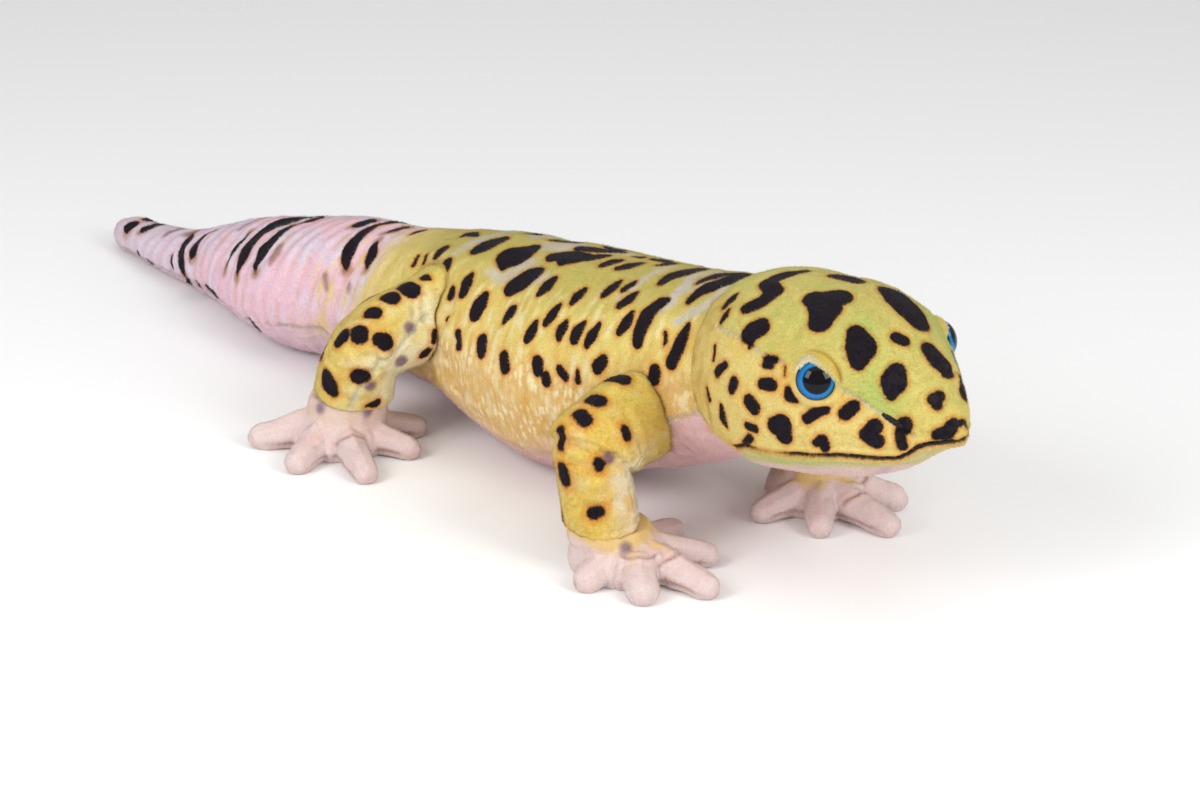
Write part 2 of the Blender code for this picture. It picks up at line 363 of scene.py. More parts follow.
def spotField(points, groups, place, softness=1.0):  # mm outside the nearest spot's edge, negative inside
    field = np.full(len(points), farOff)
    for group in groups:
        beads = beadsOf(group, place)
        if not len(beads):
            continue
        reach = beads[:, 3].max() + 7
        picked = within(points, beads[:, :3].min(0) - reach, beads[:, :3].max(0) + reach)
        gaps = np.linalg.norm(points[picked, None] - beads[None, :, :3], axis=2) - beads[None, :, 3]
        field[picked] = np.minimum(field[picked], gaps.min(1) / softness)
    return field


def bothWays(groups):  # these and their mirror images
    return groups + [[(y, -turn, radius) for y, turn, radius in group] for group in groups]


def tapered(groups):  # long bands end in points
    made = []
    for group in groups:
        last = len(group) - 1
        if last > 1:
            dense = []
            for k in range(3 * last + 1):
                low = min(k // 3, last - 1)
                t = (k - 3 * low) / 3
                y, turn, radius = (a + (b - a) * t for a, b in zip(group[low], group[low + 1]))
                dense.append((y, turn, radius * (1 - 0.8 * abs(2 * k / (3 * last) - 1) ** 3)))
            group = dense
        made.append(group)
    return made


def mirrored(groups, rng, least):  # the far side's spots: the near side's turned over, a little moved
    made = []
    for group in groups:
        if min(bead[1] for bead in group) < least:
            continue
        shiftY, shiftTurn, grow = rng.uniform(-3, 3), rng.uniform(-3, 3), rng.uniform(0.85, 1.15)
        made.append([(y + shiftY, -turn + shiftTurn, radius * grow) for y, turn, radius in group])
    return made


crownSpots = [
    [(-31, 36, 3.5), (-35, 29, 3.5), (-35, 21, 4.5), (-27, 16, 4), (-28, 5, 4.5), (-32, -6, 2.5)],
    [(-57, 18, 5.5), (-61, 18, 7), (-66, 22, 7), (-69, 30, 5.2)], [(-61, 18, 7), (-64, 12, 7)],
    [(-47, -9, 3.6), (-52, -11, 4.6), (-57, -11, 4)],
    [(-73, -17, 6.5), (-80, -15, 8), (-86, -14, 7.5), (-92, -13, 5.5)],
    [(-84, 25, 4), (-89, 30, 6.5), (-91, 38, 3.6)],
    [(-95, 10, 3), (-97, 8, 3)],
    [(-103, 28, 4), (-104, 35, 5.5), (-105, 44, 2.5)],
    [(-104, -6, 4.5), (-108, -8, 5.4), (-111, -12, 4.4)],
    [(-41, 48, 5), (-44, 44, 4.6)], [(-44, 48, 2), (-44, 55, 1)],
]
snoutSpots = [
    [(-116, 22, 2.5), (-117, 13, 2.5)], [(-116, 20, 2), (-118, 23, 2.5)],
    [(-121, 61, 2.5), (-123, 48, 3.2), (-124, 20, 2.5)], [(-124, 49, 2), (-125, 0, 1.5), (-125, -35, 0.6)],
    [(-113, -35, 3.5), (-118, -29, 3)],
    [(-111, 63, 3.4), (-111, 67, 3)], [(-110, 73, 2.3), (-111, 90, 2.4)],
]
cheekSpots = [
    [(-55, 57, 2), (-59, 56, 2)], [(-58, 59, 2), (-55, 60, 1.6)],
    [(-57, 69, 2.5), (-60, 68, 3), (-62, 68, 2.5)],
    [(-65, 57, 0.5), (-66, 61, 0.5)],
    [(-69, 67, 1.5), (-70, 70, 2.5), (-73, 71, 1.5)],
    [(-79, 79, 2.5), (-82, 74, 2.5), (-85, 71, 2)],
    [(-92, 70, 3), (-94, 64, 3), (-95, 61, 1.5)],
    [(-66, 88, 4.2), (-69, 86, 4.6), (-70, 92, 4)],
    [(-52, 80, 3.3), (-55, 82, 3.3)],
    [(-42, 74, 2.8), (-41, 78, 2.3)],
    [(-30, 73, 2.5), (-34, 68, 2)],
    [(-24, 61, 1), (-25, 68, 1)],
    [(-17, 29, 1.5), (-17, 33, 2.5), (-17, 39, 1.5)],
    [(-21, 40, 1), (-21, 44, 2), (-21, 48, 1)],
    [(-83, 93, 2), (-85, 91, 3), (-86, 96, 2)],
    [(-100, 82, 3), (-102, 74, 3.5)], [(-100, 82, 3.4), (-103, 87, 3.5)],
    [(-114, 95, 1.2), (-116, 89, 1.2)],
    [(-52, 93, 2), (-56, 93, 2)],
    [(-53, 99, 2), (-49, 105, 2)],
    [(-35, 90, 1.5), (-36, 96, 2.7), (-38, 99, 1.5)],
    [(-24, 85, 1), (-26, 90, 1.5)],
]
farHeadSpots = [
    [(-56, -42, 4), (-62, -46, 4.5)], [(-38, -44, 4), (-43, -40, 4.5)], [(-101, -42, 3), (-105, -47, 4)],
]
trunkSpots = [
    [(154, 21, 4), (151, 15, 6), (149, 8, 4.5)],
    [(130, 27, 2.5), (132, 20, 6.5), (125, 16, 7), (124, 10, 4)],
    [(115, 37, 5.5), (109, 32, 6), (105, 27, 4)],
    [(142, 51, 3), (143, 45, 3.5), (143, 39, 1.5)],
    [(128, 59, 4), (128, 54, 4.6), (128, 47, 2)],
    [(94, 37, 2.5), (93, 33, 3.7), (92, 28, 2)],
    [(107, 56, 2.5), (106, 52, 4.2), (105, 48, 1.5)],
    [(106, 13, 4.5), (99, 9, 5.5), (89, 7, 4), (83, 1, 2)], [(102, 12, 3), (97, 16, 3), (93, 11, 4)],
    [(72, 39, 2), (72, 35, 3), (71, 30, 1.5)],
    [(80, 52, 2.5), (79, 48, 3), (78, 42, 1.5)],
    [(87, 62, 2.5), (86, 58, 3), (86, 53, 1.5)],
    [(69, 58, 2.5), (69, 54, 3.3), (69, 50, 1.5)],
    [(60, 58, 3), (60, 54, 3.3), (59, 49, 1.5)],
    [(52, 61, 2), (51, 56, 3), (51, 49, 1.5)],
    [(59, 31, 2), (58, 26, 3.3), (58, 20, 1.5)],
    [(46, 36, 2.5), (44, 32, 3), (43, 27, 1.5)],
    [(51, 26, 2), (50, 21, 2), (50, 18, 1)],
    [(38, 52, 2.5), (37, 47, 3.5), (37, 41, 2)],
    [(76, 11, 2.5), (75, 6, 3), (73, 2, 1.5)],
    [(67, 10, 2.5), (65, 5, 3.5), (63, 0, 2.5)],
    [(26, 58, 3), (27, 49, 4.3), (28, 40, 4.6), (26, 33, 4), (23, 30, 2)],
    [(13, 51, 1), (11, 57, 1.5), (11, 60, 0.5)],
    [(4, 70, 3.3), (3, 61, 3.3), (3, 53, 3.3), (3, 45, 1.5)],
    [(-13, 62, 2), (-12, 57, 2.5), (-11, 50, 1.5)],
    [(12, 76, 3.6), (12, 80, 3.4)],
    [(43, 73, 3.6), (41, 70, 3.4)],
    [(17, 84, 1), (14, 89, 1.5)],
    [(77, 73, 3.4), (76, 77, 3)], [(71, 79, 2.2), (70, 82, 2.8)],
    [(64, 75, 2.4), (60, 79, 2.2)],
    [(54, 75, 1), (53, 81, 1.9)],
    [(98, 74, 3.5), (96, 78, 3.5)],
    [(117, 71, 3.4), (114, 76, 3.6)],
    [(135, 74, 2.8), (133, 79, 3)],
    [(147, 68, 1), (147, 70, 1)],
    [(151, 55, 2.5), (152, 51, 2)],
    [(164, 39, 3.6), (165, 36, 3)],
    [(176, 33, 2), (177, 25, 3.3)],
    [(181, 40, 1), (184, 33, 1)],
    [(187, 43, 1.5), (189, 35, 1)],
]
spineSpots = [  # across the spine, so only once
    [(36, 16, 2.5), (36, 7, 4.6), (33, 0, 5.5), (33, -9, 4.6)],
    [(16, 14, 1.5), (15, 6, 3.3), (13, -3, 4), (8, -9, 3)],
    [(11, 29, 2), (10, 21, 3.3), (7, 14, 4.6), (5, 5, 4.6), (4, -7, 4)],
    [(102, -1, 3.6), (96, -3, 4.4), (90, -5, 3.5), (83, -9, 2)], [(96, -12, 2), (88, -13, 4)],
    [(124, -5, 3), (119, -8, 4.3), (112, -10, 2.5)],
    [(146, -10, 2), (140, -11, 2.5)],
    [(178, 6, 2), (177, 1, 4), (169, 5, 1.5)],
    [(75, -8, 1), (71, -10, 2)],
    [(65, -11, 2), (60, -14, 4)],
    [(53, -3, 2.3), (53, -11, 3.6)],
]
tailBands = [
    [(444, 65, 2), (446, 45, 3.6), (446, 15, 3.3)],
    [(434, 50, 2), (435, 26, 3.6), (433, -8, 3.6)],
    [(391, 77, 1), (389, 92, 2)],
    [(392, 21, 3), (385, 54, 4.2), (382, 71, 3.8), (378, 85, 3.8), (376, 102, 3)],
    [(371, 20, 3.7), (374, 33, 4.6), (373, 50, 4.2), (370, 68, 3.3), (369, 76, 2)],
    [(327, 33, 1), (327, 45, 2.5), (328, 56, 2.5), (326, 68, 2), (324, 76, 1)],
    [(309, 76, 2.5), (311, 68, 3.7), (314, 55, 4.6), (315, 40, 4.2), (316, 24, 4.6), (318, 2, 5.5), (315, -6, 4)],
    [(293, 70, 1), (297, 63, 3), (299, 52, 4.4), (300, 40, 4.2), (302, 27, 3.8), (302, 12, 2.5)],
    [(299, 9, 3), (297, 3, 4.6), (298, -5, 4)],
    [(257, 11, 2.5), (256, 3, 4), (257, -8, 2.5)],
    [(236, 54, 3), (240, 45, 4), (242, 34, 4.3), (244, 20, 3), (246, 3, 2), (245, -14, 2)],
    [(222, 51, 1.5), (225, 41, 3.5), (228, 30, 2.5), (229, 22, 1)],
    [(232, 12, 1), (230, 4, 3), (229, -9, 3)],
    [(215, 7, 1.5), (214, 0, 2.5)],
    [(296, 104, 2), (296, 113, 3)],
    [(349, 101, 2), (340, 103, 3)],
    [(365, 106, 1.5), (363, 115, 3)],
    [(377, 106, 1.5), (376, 120, 4)],
    [(418, 104, 1.5), (417, 110, 1.5)],
    [(428, 96, 1.5), (427, 104, 1.5)],
]
brownBands = [
    [(396, 24, 3.5), (394, 18, 4), (394, -10, 3)],
    [(285, 61, 1.5), (287, 53, 4), (289, 47, 3)],
    [(247, 61, 2), (243, 71, 1.5)],
    [(229, 66, 2), (228, 70, 1.5)],
    [(413, 40, 2), (414, 20, 2.6), (413, -10, 2)],
    [(340, 30, 1.6), (341, 10, 2), (340, -10, 1.6)],
]
# On a leg a bead is (s, turn, radius): s runs 0 to 1 down the upper bone and 1 to 2 down the lower one,
# and the turn is 0 forward and 90 outward or up.
legSpots = {
    "front": [
        [(0.5, 106, 4.4), (0.5, 94, 4.6)],
        [(0.85, 97, 3.6), (0.85, 87, 3.8)],
        [(0.94, 89, 3.5), (0.95, 80, 3.5)],
        [(1.0, 96, 3), (1.03, 96, 3)],
        [(1.12, 92, 3.4), (1.19, 90, 3.8)],
        [(0.86, 38, 2.6), (0.87, 31, 2.8)],
        [(1.06, 42, 2.6), (1.08, 36, 2.8)],
        [(1.64, 50, 3.2), (1.62, 42, 2.8)],
        [(1.74, 120, 2.4), (1.86, 120, 2.4)],
        [(1.35, 150, 3.6), (1.42, 152, 3.6)],
        [(0.7, 150, 3.6), (0.76, 152, 3.6)],
    ],
    "hind": [
        [(0.42, 91, 4.4), (0.41, 79, 4.8)],
        [(0.62, 88, 4), (0.6, 80, 4)],
        [(0.84, 76, 3.6), (0.82, 70, 3.6)],
        [(0.95, 62, 4.2), (0.96, 58, 4.2)],
        [(0.99, 78, 3.4), (1.02, 80, 3.4)],
        [(0.9, 31, 3.6), (0.88, 24, 4.4), (0.87, 20, 3.6)],
        [(0.22, 90, 2.5), (0.20, 80, 1)],
        [(1.15, 38, 4), (1.14, 30, 3.4)],
        [(1.35, 85, 4.6), (1.43, 80, 5), (1.53, 70, 2.5)],
        [(1.67, 20, 1), (1.65, 5, 2.5)],
        [(0.55, -25, 2.8), (0.51, -20, 2)],
        [(0.44, -10, 1.5), (0.39, 0, 1.5)],
        [(0.7, 130, 3.6), (0.64, 136, 3.6)],
        [(1.2, 135, 4), (1.28, 140, 4)],
    ],
}
plumSpots = {
    "front": [[(1.02, 24, 2.4), (1.03, 20, 2.4)]],
    "hind": [[(0.59, 20, 2.5), (0.6, 22, 2.5)], [(0.78, -20, 2.9), (0.79, -18, 2.9)],
             [(1.29, 20, 2.5), (1.3, 18, 2.5)]],
}
print("spots listed")


# The sewn skins
legJoints = {  # wrist or ankle, elbow or knee, shoulder or hip, in mm, with x counted outward
    ("front", "right"): ((68.5, 12, 21), (72.5, 15, 55), (26, 20, 60)),
    ("front", "left"): ((50, 3, 21), (62, 12, 55), (26, 20, 60)),
    ("hind", "right"): ((69, 182, 22), (70, 174, 52), (22, 165, 63)),
    ("hind", "left"): ((68.5, 184, 22), (65, 178, 41), (24, 168, 55)),
}
legNodes = {"front": ("arm", "forearm", "front_foot"), "hind": ("thigh", "shank", "hind_foot")}
grain = {"head": 0.0007, "body": 0.0013, "leg": 0.001, "foot": 0.0008}  # metres between a skin's points
thinGap = 0.0004  # metres that the solids swell, so that the thin gaps between them close


def keepLargest(piece):  # a remesh can leave bubbles inside
    selectOnly(piece)
    editAll(bpy.ops.mesh.separate, type="LOOSE")
    shells = sorted(bpy.context.selected_objects, key=lambda shell: len(shell.data.vertices))
    if shells[-1] != piece:
        piece.data = shells[-1].data
    for shell in shells:
        if shell != piece:
            bpy.data.objects.remove(shell)


def sew(name, nodes, voxel, relaxing, inside=()):
    piece = freshCopy(name, *nodes, *inside)
    step = piece.modifiers.new("grow", "DISPLACE")
    step.strength = thinGap
    step.mid_level = 0
    applyAll(piece)
    remesh(piece, voxel)
    keepLargest(piece)
    skin = Skin(piece)
    skin.relax(relaxing)
    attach(piece, "root")
    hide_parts(*nodes)
    return skin


headNodes = ("head", "jaw", "eyelid_left", "eyelid_right")
headSkin = sew("headSkin", headNodes, grain["head"], 10, ("eye_left", "eye_right"))
bodySkin = sew("bodySkin", ("neck", "trunk", "tail"), grain["body"], 14)
legSkins, footSkins = {}, {}
for sideName in sides:
    for end, (upper, lower, foot) in legNodes.items():
        nodes = (f"{upper}_{sideName}", f"{lower}_{sideName}")
        legSkins[end, sideName] = sew(f"{end}Sleeve_{sideName}", nodes, grain["leg"], 14)
        nodes = (f"{foot}_{sideName}",)
        footSkins[end, sideName] = sew(f"{end}FootSkin_{sideName}", nodes, grain["foot"], 10)


def onHead(y, turn):
    return onTube(headSkin, headAxis, y, turn)


def onBody(y, turn):
    return onTube(bodySkin, bodyAxis, y, turn)


def legFrame(end, sideName):  # ankle, bend and root with x outward
    return [np.array(joint, float) for joint in legJoints[end, sideName]]


def turnedAxes(bone):  # forward, and outward or up, square to a bone
    way = bone / np.linalg.norm(bone)
    ahead = np.array((0, -1, 0)) + way * way[1]
    ahead /= np.linalg.norm(ahead)
    out = np.cross(way, ahead)
    return ahead, out if out[0] + out[2] > 0 else -out


nearKneeShifts = [  # place, reach and shift in mm
    ((-82, 186, 64), 17, (3.6, -3.2, -3.3)),
    ((-84, 192, 44), 14, (1.2, -1.2, 0)),
]


def fitSleeve(skin, end, sideName):  # a hip or shoulder is flatter in front, and a hind sleeve ends up the foot
    ankle, bend, root = (joint * (sides[sideName], 1, 1) for joint in legFrame(end, sideName))
    bone, shank = bend - root, ankle - bend
    ahead, above = turnedAxes(bone)
    above = above * np.sign(above[2])
    s = (skin.points - root) @ bone / (bone @ bone)
    away = skin.points - root - s[:, None] * bone
    forward, up = away @ ahead, away @ above
    nearRoot = np.interp(s, (0.45, 0.95), (1, 0))
    if end == "front":
        skin.points -= ahead * (forward * np.where(forward > 0, 0.4, 0.1) * nearRoot)[:, None]
        dome = 2.2 * ease(0, 9, up) * bell(s - 0.6, 0.28) * ease(10, -2, forward)
        skin.points += above * dome[:, None]
    else:
        squeeze = forward * np.where(forward > 0, 0.38, 0.05) * nearRoot * ease(-6, 8, up)
        skin.points -= ahead * squeeze[:, None]
        lowered = 0.12 * np.interp(s, (0.3, 0.8), (1, 0)) + 0.15 * bell(s - 0.85, 0.4)
        skin.points -= above * (up * np.where(up > 0, 1, 0) * lowered)[:, None]
        lower = (skin.points - bend) @ shank / (shank @ shank)
        rear = ease(-10, 12, (skin.points - bend) @ -ahead)
        skin.points -= shank * (ease(0.45, 1.0, lower) * (0.12 + 0.11 * rear))[:, None]
    skin.relax(30, 0.5, ease(0.7, 0.45, s)[:, None], shrink=end == "front")
    if (end, sideName) == ("hind", "right"):
        for place, reach, shift in nearKneeShifts:
            skin.points += np.array(shift) * nearPlace(skin.points, place, reach)[:, None]
        skin.relax(8)


for (end, sideName), skin in legSkins.items():
    fitSleeve(skin, end, sideName)
for (end, sideName), skin in footSkins.items():
    if end == "hind":  # a hind foot reaches a little further up into its sleeve
        skin.points[:, 2] += 3.5 * ease(12, 17, skin.points[:, 2])
        skin.feel()
for name, skin in (("head", headSkin), ("body", bodySkin), *legSkins.items(), *footSkins.items()):
    print(name, len(skin.points), "points")

# Eyes, lids, mouth, seams and folds worked into the skins
eyeShape = {
    "at": {-1: (-36.3, -79.1, 106.5), 1: (37.2, -79.6, 103.4)},  # mm
    "radius": 8.4,
    "depth": 6.6,
    "rings": 40,  # of the whole ball, which is cut flat along its last ring
    "lastRing": 25,
    "gazeOut": 52,  # degrees
    "gazeUp": 15,
    "lidHeight": 6.9,  # mm that the lid's edge lies above the eye's middle
    "lidSlope": 0.42,  # how much the edge falls towards the snout
    "lidBow": 0.048,
    "lidSink": {-1: 0.0, 1: 2.4},  # mm that the lid lies flatter
    "lidRoll": 0.7,  # mm that the lid's edge and the fold over its crease stand out
    "fold": 0.75,
    "creaseDepth": 1.15,
    "welt": 0.75,
}


def eyeFrame(side):  # the middle, and the ways to the snout, up and out along the gaze
    out, up = math.radians(eyeShape["gazeOut"]), math.radians(eyeShape["gazeUp"])
    gaze = np.array((side * math.sin(out) * math.cos(up), -math.cos(out) * math.cos(up), math.sin(up)))
    front = np.array((-side * math.cos(out), -math.sin(out), 0))
    upward = np.cross(front, gaze)
    upward *= np.sign(upward[2])
    return np.array(eyeShape["at"][side]), front, upward, gaze


def lidCrease(a):  # how far from the eye's middle the crease over the lid runs
    return 11.1 - 1.1 * np.clip(a / 8, -1, 1)


def lowerFarBrow(skin):
    low = nearPlace(skin.points, (35, -76, 118), 11)
    skin.points -= np.array((0.5, 0.2, 1.9)) * low[:, None]
    skin.feel()


def openLids(skin):  # the skin over the eye's window goes back behind the eye, and the lids keep a soft edge
    e, rims = eyeShape, []
    for side in sides.values():
        middle, front, upward, gaze = eyeFrame(side)
        local = skin.points - middle
        a, b, c = local @ front, local @ upward, local @ gaze
        ring = np.hypot(a, b)
        lidEdge = e["lidHeight"] - e["lidSlope"] * a - e["lidBow"] * a * a
        outside = np.maximum(ring - (e["radius"] - 0.2), (b - lidEdge) * 0.95)  # mm outside the window
        here = (c > -3) & (ring < 22)
        dome = e["depth"] * np.sqrt(np.clip(1 - (ring / (e["radius"] + 0.2)) ** 2, 0, 1))
        sink = np.where(here, ease(0.25, -0.7, outside), 0)
        flatter = e["lidSink"][side] * here * ease(19, 11, ring) * ease(-6, 0, b) * ease(-4, 0, c)
        skin.points += gaze * ((dome - 1.6 - c) * sink - flatter * (1 - sink))[:, None]
        lid = here * ease(-0.5, 1.5, b - lidEdge + 1)
        roll = e["lidRoll"] * bell(outside - 1.1, 1.1) * here * (0.4 + 0.6 * lid)
        pastCrease = ring - lidCrease(a)
        crease = e["creaseDepth"] * bell(pastCrease, 0.65) * here
        crease = crease * ease(-6, 1, b + a * 0.4) * ease(15, 9, np.abs(a - 1))
        fold = e["fold"] * bell(pastCrease - 2.2, 1.6) * here * ease(-4, 3, b)
        welt = e["welt"] * bell(ring - 9.9, 0.9) * here * ease(2, -3, b)
        underWelt = 0.7 * bell(ring - 12.3, 0.8) * here * ease(0, -5, b)
        skin.feel()
        skin.push((roll + fold) * (1 - e["lidSink"][side] / 5) - crease + (welt - underWelt))
        rims.append(np.where(here, np.abs(outside), farOff))
    closeBy = np.minimum(*rims) < 4
    skin.relax(4, 0.5, closeBy[:, None].astype(float))
    return rims


mouthLine = [(-126, 85.5), (-119, 84.2), (-115.5, 82.8), (-112.5, 79.3), (-108.5, 76.6), (-103, 76.2), (-90, 76.4),
             (-75, 74.2), (-48, 70), (-38, 64.5), (-33, 60)]
headSeams = [  # (y, turn) on the near side; the far side is its mirror
    [(-90, 56), (-98, 58), (-103, 61), (-109, 67), (-114, 74)],
    [(-19, 50), (-28, 51.5), (-36, 52), (-47, 54), (-53, 56), (-63, 55)],
]
snoutFold = [(-108, 36), (-110, 24), (-112, 10), (-113, 0), (-112, -14), (-110, -30)]


def mouthPlaces(skin, side):  # from the corner of the mouth to the middle of the lips
    rays = [((side * 80, y, z), (-side, 0, 0)) for y, z in reversed(mouthLine[1:-1])]
    rays += [((side * x, -160, 84.8), (0, 1, 0)) for x in (6.5, 4.5, 2.2, 0)]
    return lineThrough(lambda start, way: hit(skin, start, way), rays)


def shapeHead(skin):
    lowerFarBrow(skin)
    p = skin.points
    raised = 2.3 * ease(-2, -9, p[:, 2] - along(mouthLine, p[:, 1])) * ease(-38, -60, p[:, 1])
    p[:, 2] += raised + 0.9 * raised / 2.3 * ease(-95, -115, p[:, 1])
    skin.feel()
    rims = openLids(skin)
    mouths = [mouthPlaces(skin, side) for side in sides.values()]
    lips = np.full(len(p), farOff)
    for line in mouths:
        lips = np.minimum(lips, groove(skin, line, *seams["mouth"]))
    seam = np.full(len(p), farOff)
    for places in headSeams:
        for mirror in (1, -1):
            line = lineThrough(onHead, [(y, mirror * turn) for y, turn in places])
            seam = np.minimum(seam, groove(skin, line, *seams["head"]))
    groove(skin, lineThrough(onHead, snoutFold), 0.6, 1.4, 0.6)
    return {"rims": rims, "lips": lips, "seam": seam, "mouths": mouths}


def tubePlaces(points, axis):  # y, the turn round the axis, and how far that is from the spine
    y = points[:, 1]
    turn = np.degrees(np.arctan2(-points[:, 0], points[:, 2] - along(axis, y)))
    return y, turn, np.abs(turn)


bellyEdge = [(-48, 100), (-11, 103), (4, 109), (40, 120), (100, 130), (190, 126), (235, 112)]  # (y, turn)
tailSeam = [(238, 112), (245, 102), (270, 102), (300, 106), (350, 108), (400, 110), (445, 110)]
legSeams = {  # (s, turn)
    "front": [[(0.75, -60), (1.0, -50), (1.3, -45), (1.9, -40)]],
    "hind": [[(0.38, 28), (0.45, 25), (0.55, 19), (0.65, 11), (0.75, 5), (0.84, 0), (0.93, 0), (1.04, 10), (1.18, 24),
              (1.34, 34), (1.48, 39), (1.7, 42)]],
}
legFolds = {  # (s, turn), then depth and width in mm
    "front": [
        ([(0.98, 20), (1.03, 50), (1.02, 80)], 1.0, 1.3),
        ([(1.08, -30), (1.1, 10), (1.16, 50)], 0.8, 1.5),
        ([(0.72, 0), (0.76, 30), (0.74, 55)], 0.6, 1.6),
        ([(1.5, -20), (1.56, 20), (1.52, 60)], 0.4, 1.6),
    ],
    "hind": [
        ([(0.34, 62), (0.40, 42), (0.42, 22)], 0.9, 1.4),
        ([(0.40, 70), (0.48, 48), (0.52, 30)], 0.5, 1.2),
        ([(0.98, 5), (1.02, 40), (1.0, 70)], 0.9, 1.4),
        ([(1.1, 20), (1.14, 60), (1.1, 95)], 0.6, 1.5),
        ([(1.5, 0), (1.56, 40), (1.5, 80)], 0.4, 1.6),
    ],
}
footPlaces = {("front", "right"): (60, 3), ("front", "left"): (43, -7.5), ("hind", "right"): (74, 187),
              ("hind", "left"): (73.2, 185)}
footTurns = {("front", "right"): -6, ("front", "left"): 0, ("hind", "right"): 28, ("hind", "left"): 32}
toes = {  # degrees outward from the middle toe, mm to its tip's ball, how much plumper, and the root seam's depth
    "front": [(-98, 31, 0, 0), (-45, 31, 0.1, 0), (0, 41, 0.3, 0.55), (41, 32, 1.3, 0.9), (97, 30, 1.0, 0.9)],
    "hind": [(-88, 36, 0, 0), (-50, 37, 0.2, 0.9), (-6, 44, 0.2, 0.4), (41, 34, 0.7, 0), (98, 34, 0.9, 0)],
}


def tailRings(p):  # the tail's rings, in radians
    return p[:, 1] / 1.5 + ripple(p, 20, 41) * 1.1


def legPlaces(points, end, sideName):  # s down the leg and the turn round it
    p = points * (sides[sideName], 1, 1)
    ankle, bend, root = legFrame(end, sideName)
    found = []
    for start, stop in ((root, bend), (bend, ankle)):
        bone = stop - start
        s = ((p - start) @ bone) / (bone @ bone)
        middle = start + np.clip(s, 0, 1)[:, None] * bone
        ahead, out = turnedAxes(bone)
        away = p - middle
        turn = np.degrees(np.arctan2(away @ out, away @ ahead))
        found.append((np.linalg.norm(away, axis=1), s, turn))
    lower = found[1][0] < found[0][0]
    s = np.where(lower, np.maximum(found[1][1], 0) + 1, np.minimum(found[0][1], 1))
    return s, np.where(lower, found[1][2], found[0][2])


def onLeg(skin, end, sideName, s, turn):
    ankle, bend, root = legFrame(end, sideName)
    upper, lower = turnedAxes(bend - root), turnedAxes(ankle - bend)
    corner = float(ease(0.8, 1.2, s))  # the rings tilt from one bone's to the other's
    ahead, out = (one + (other - one) * corner for one, other in zip(upper, lower))
    a = math.radians(turn)
    way = (ahead * math.cos(a) + out * math.sin(a)) * (sides[sideName], 1, 1)
    middle = (root + (bend - root) * s if s <= 1 else bend + (ankle - bend) * (s - 1)) * (sides[sideName], 1, 1)
    return hit(skin, middle + way * 45, -way)


bodyFolds = [  # (y, turn), then depth and width in mm
    ([(-8, 66), (-3, 80), (-4, 94)], 0.7, 1.6),
    ([(6, 40), (10, 52), (18, 60)], 0.5, 2.0),
    ([(150, 44), (146, 62), (150, 80), (158, 96)], 0.8, 1.8),
    ([(136, 78), (146, 84), (152, 92)], 0.5, 1.6),
    ([(140, 62), (147, 66), (152, 66)], 0.6, 1.1),
    ([(192, 52), (196, 72), (200, 92)], 0.7, 2.0),
    ([(206, 40), (209, 66), (211, 96)], 0.6, 2.2),
    ([(44, 66), (50, 80), (52, 96)], 0.5, 2.2),
]


def shapeBody(skin):
    p = skin.points
    y, turn, off = tubePlaces(p, bodyAxis)
    ringDepth = 0.42 * ease(205, 240, y) * ease(455, 380, y) * (0.7 + 0.3 * ripple(p, 14, 71))
    lumps = ripple(p, 15, 72) * 0.35
    skin.push(np.sin(tailRings(p)) * ringDepth + lumps + ripple(p, 6.5, 73, (1, 0.6, 1)) * 0.12)
    seam = np.full(len(p), farOff)
    for mirror in (1, -1):
        for places in (bellyEdge, tailSeam):
            line = lineThrough(onBody, [(y, mirror * turn) for y, turn in places])
            seam = np.minimum(seam, groove(skin, line, *seams["body"]))
        for places, depth, width in bodyFolds:
            line = lineThrough(onBody, [(y, mirror * turn) for y, turn in places])
            groove(skin, line, depth, width, 0.5)
    skin.push(ripple(p, 5.5, 74, (1.6, 0.55, 2.2)) * 0.3 * ease(25, 55, off) * ease(225, 200, y))
    skin.settle()
    return {"seam": seam}


def shapeLeg(skin, end, sideName):
    s, turn = legPlaces(skin.points, end, sideName)
    p = skin.points
    bendLine = s - 1.02 - 0.02 * np.sin(np.radians(turn) * 3)
    crease = ease(0.9, 0.2, np.abs(bendLine) * 12) * ease(40, -20, np.abs(turn + 20) - 60)
    hem = -0.5 * bell(s - 1.93, 0.035) + 0.5 * bell(s - 1.985, 0.035)
    pucker = 0.16 * np.cos(np.radians(turn) * 18) * ease(1.85, 1.98, s)
    skin.push(-1.6 * crease + hem + pucker + ripple(p, 12, 75 + len(end)) * 0.55 + ripple(p, 5, 76) * 0.12)

    def line(places, steps):
        return lineThrough(lambda s, turn: onLeg(skin, end, sideName, s, turn), betweens(places, steps))

    seam = np.full(len(p), farOff)
    for places in legSeams[end]:
        seam = np.minimum(seam, groove(skin, line(places, 6), *seams["leg"]))
    for places, depth, width in legFolds[end]:
        groove(skin, line(places, 4), depth, width, 0.6)
    skin.settle()
    return {"seam": seam}


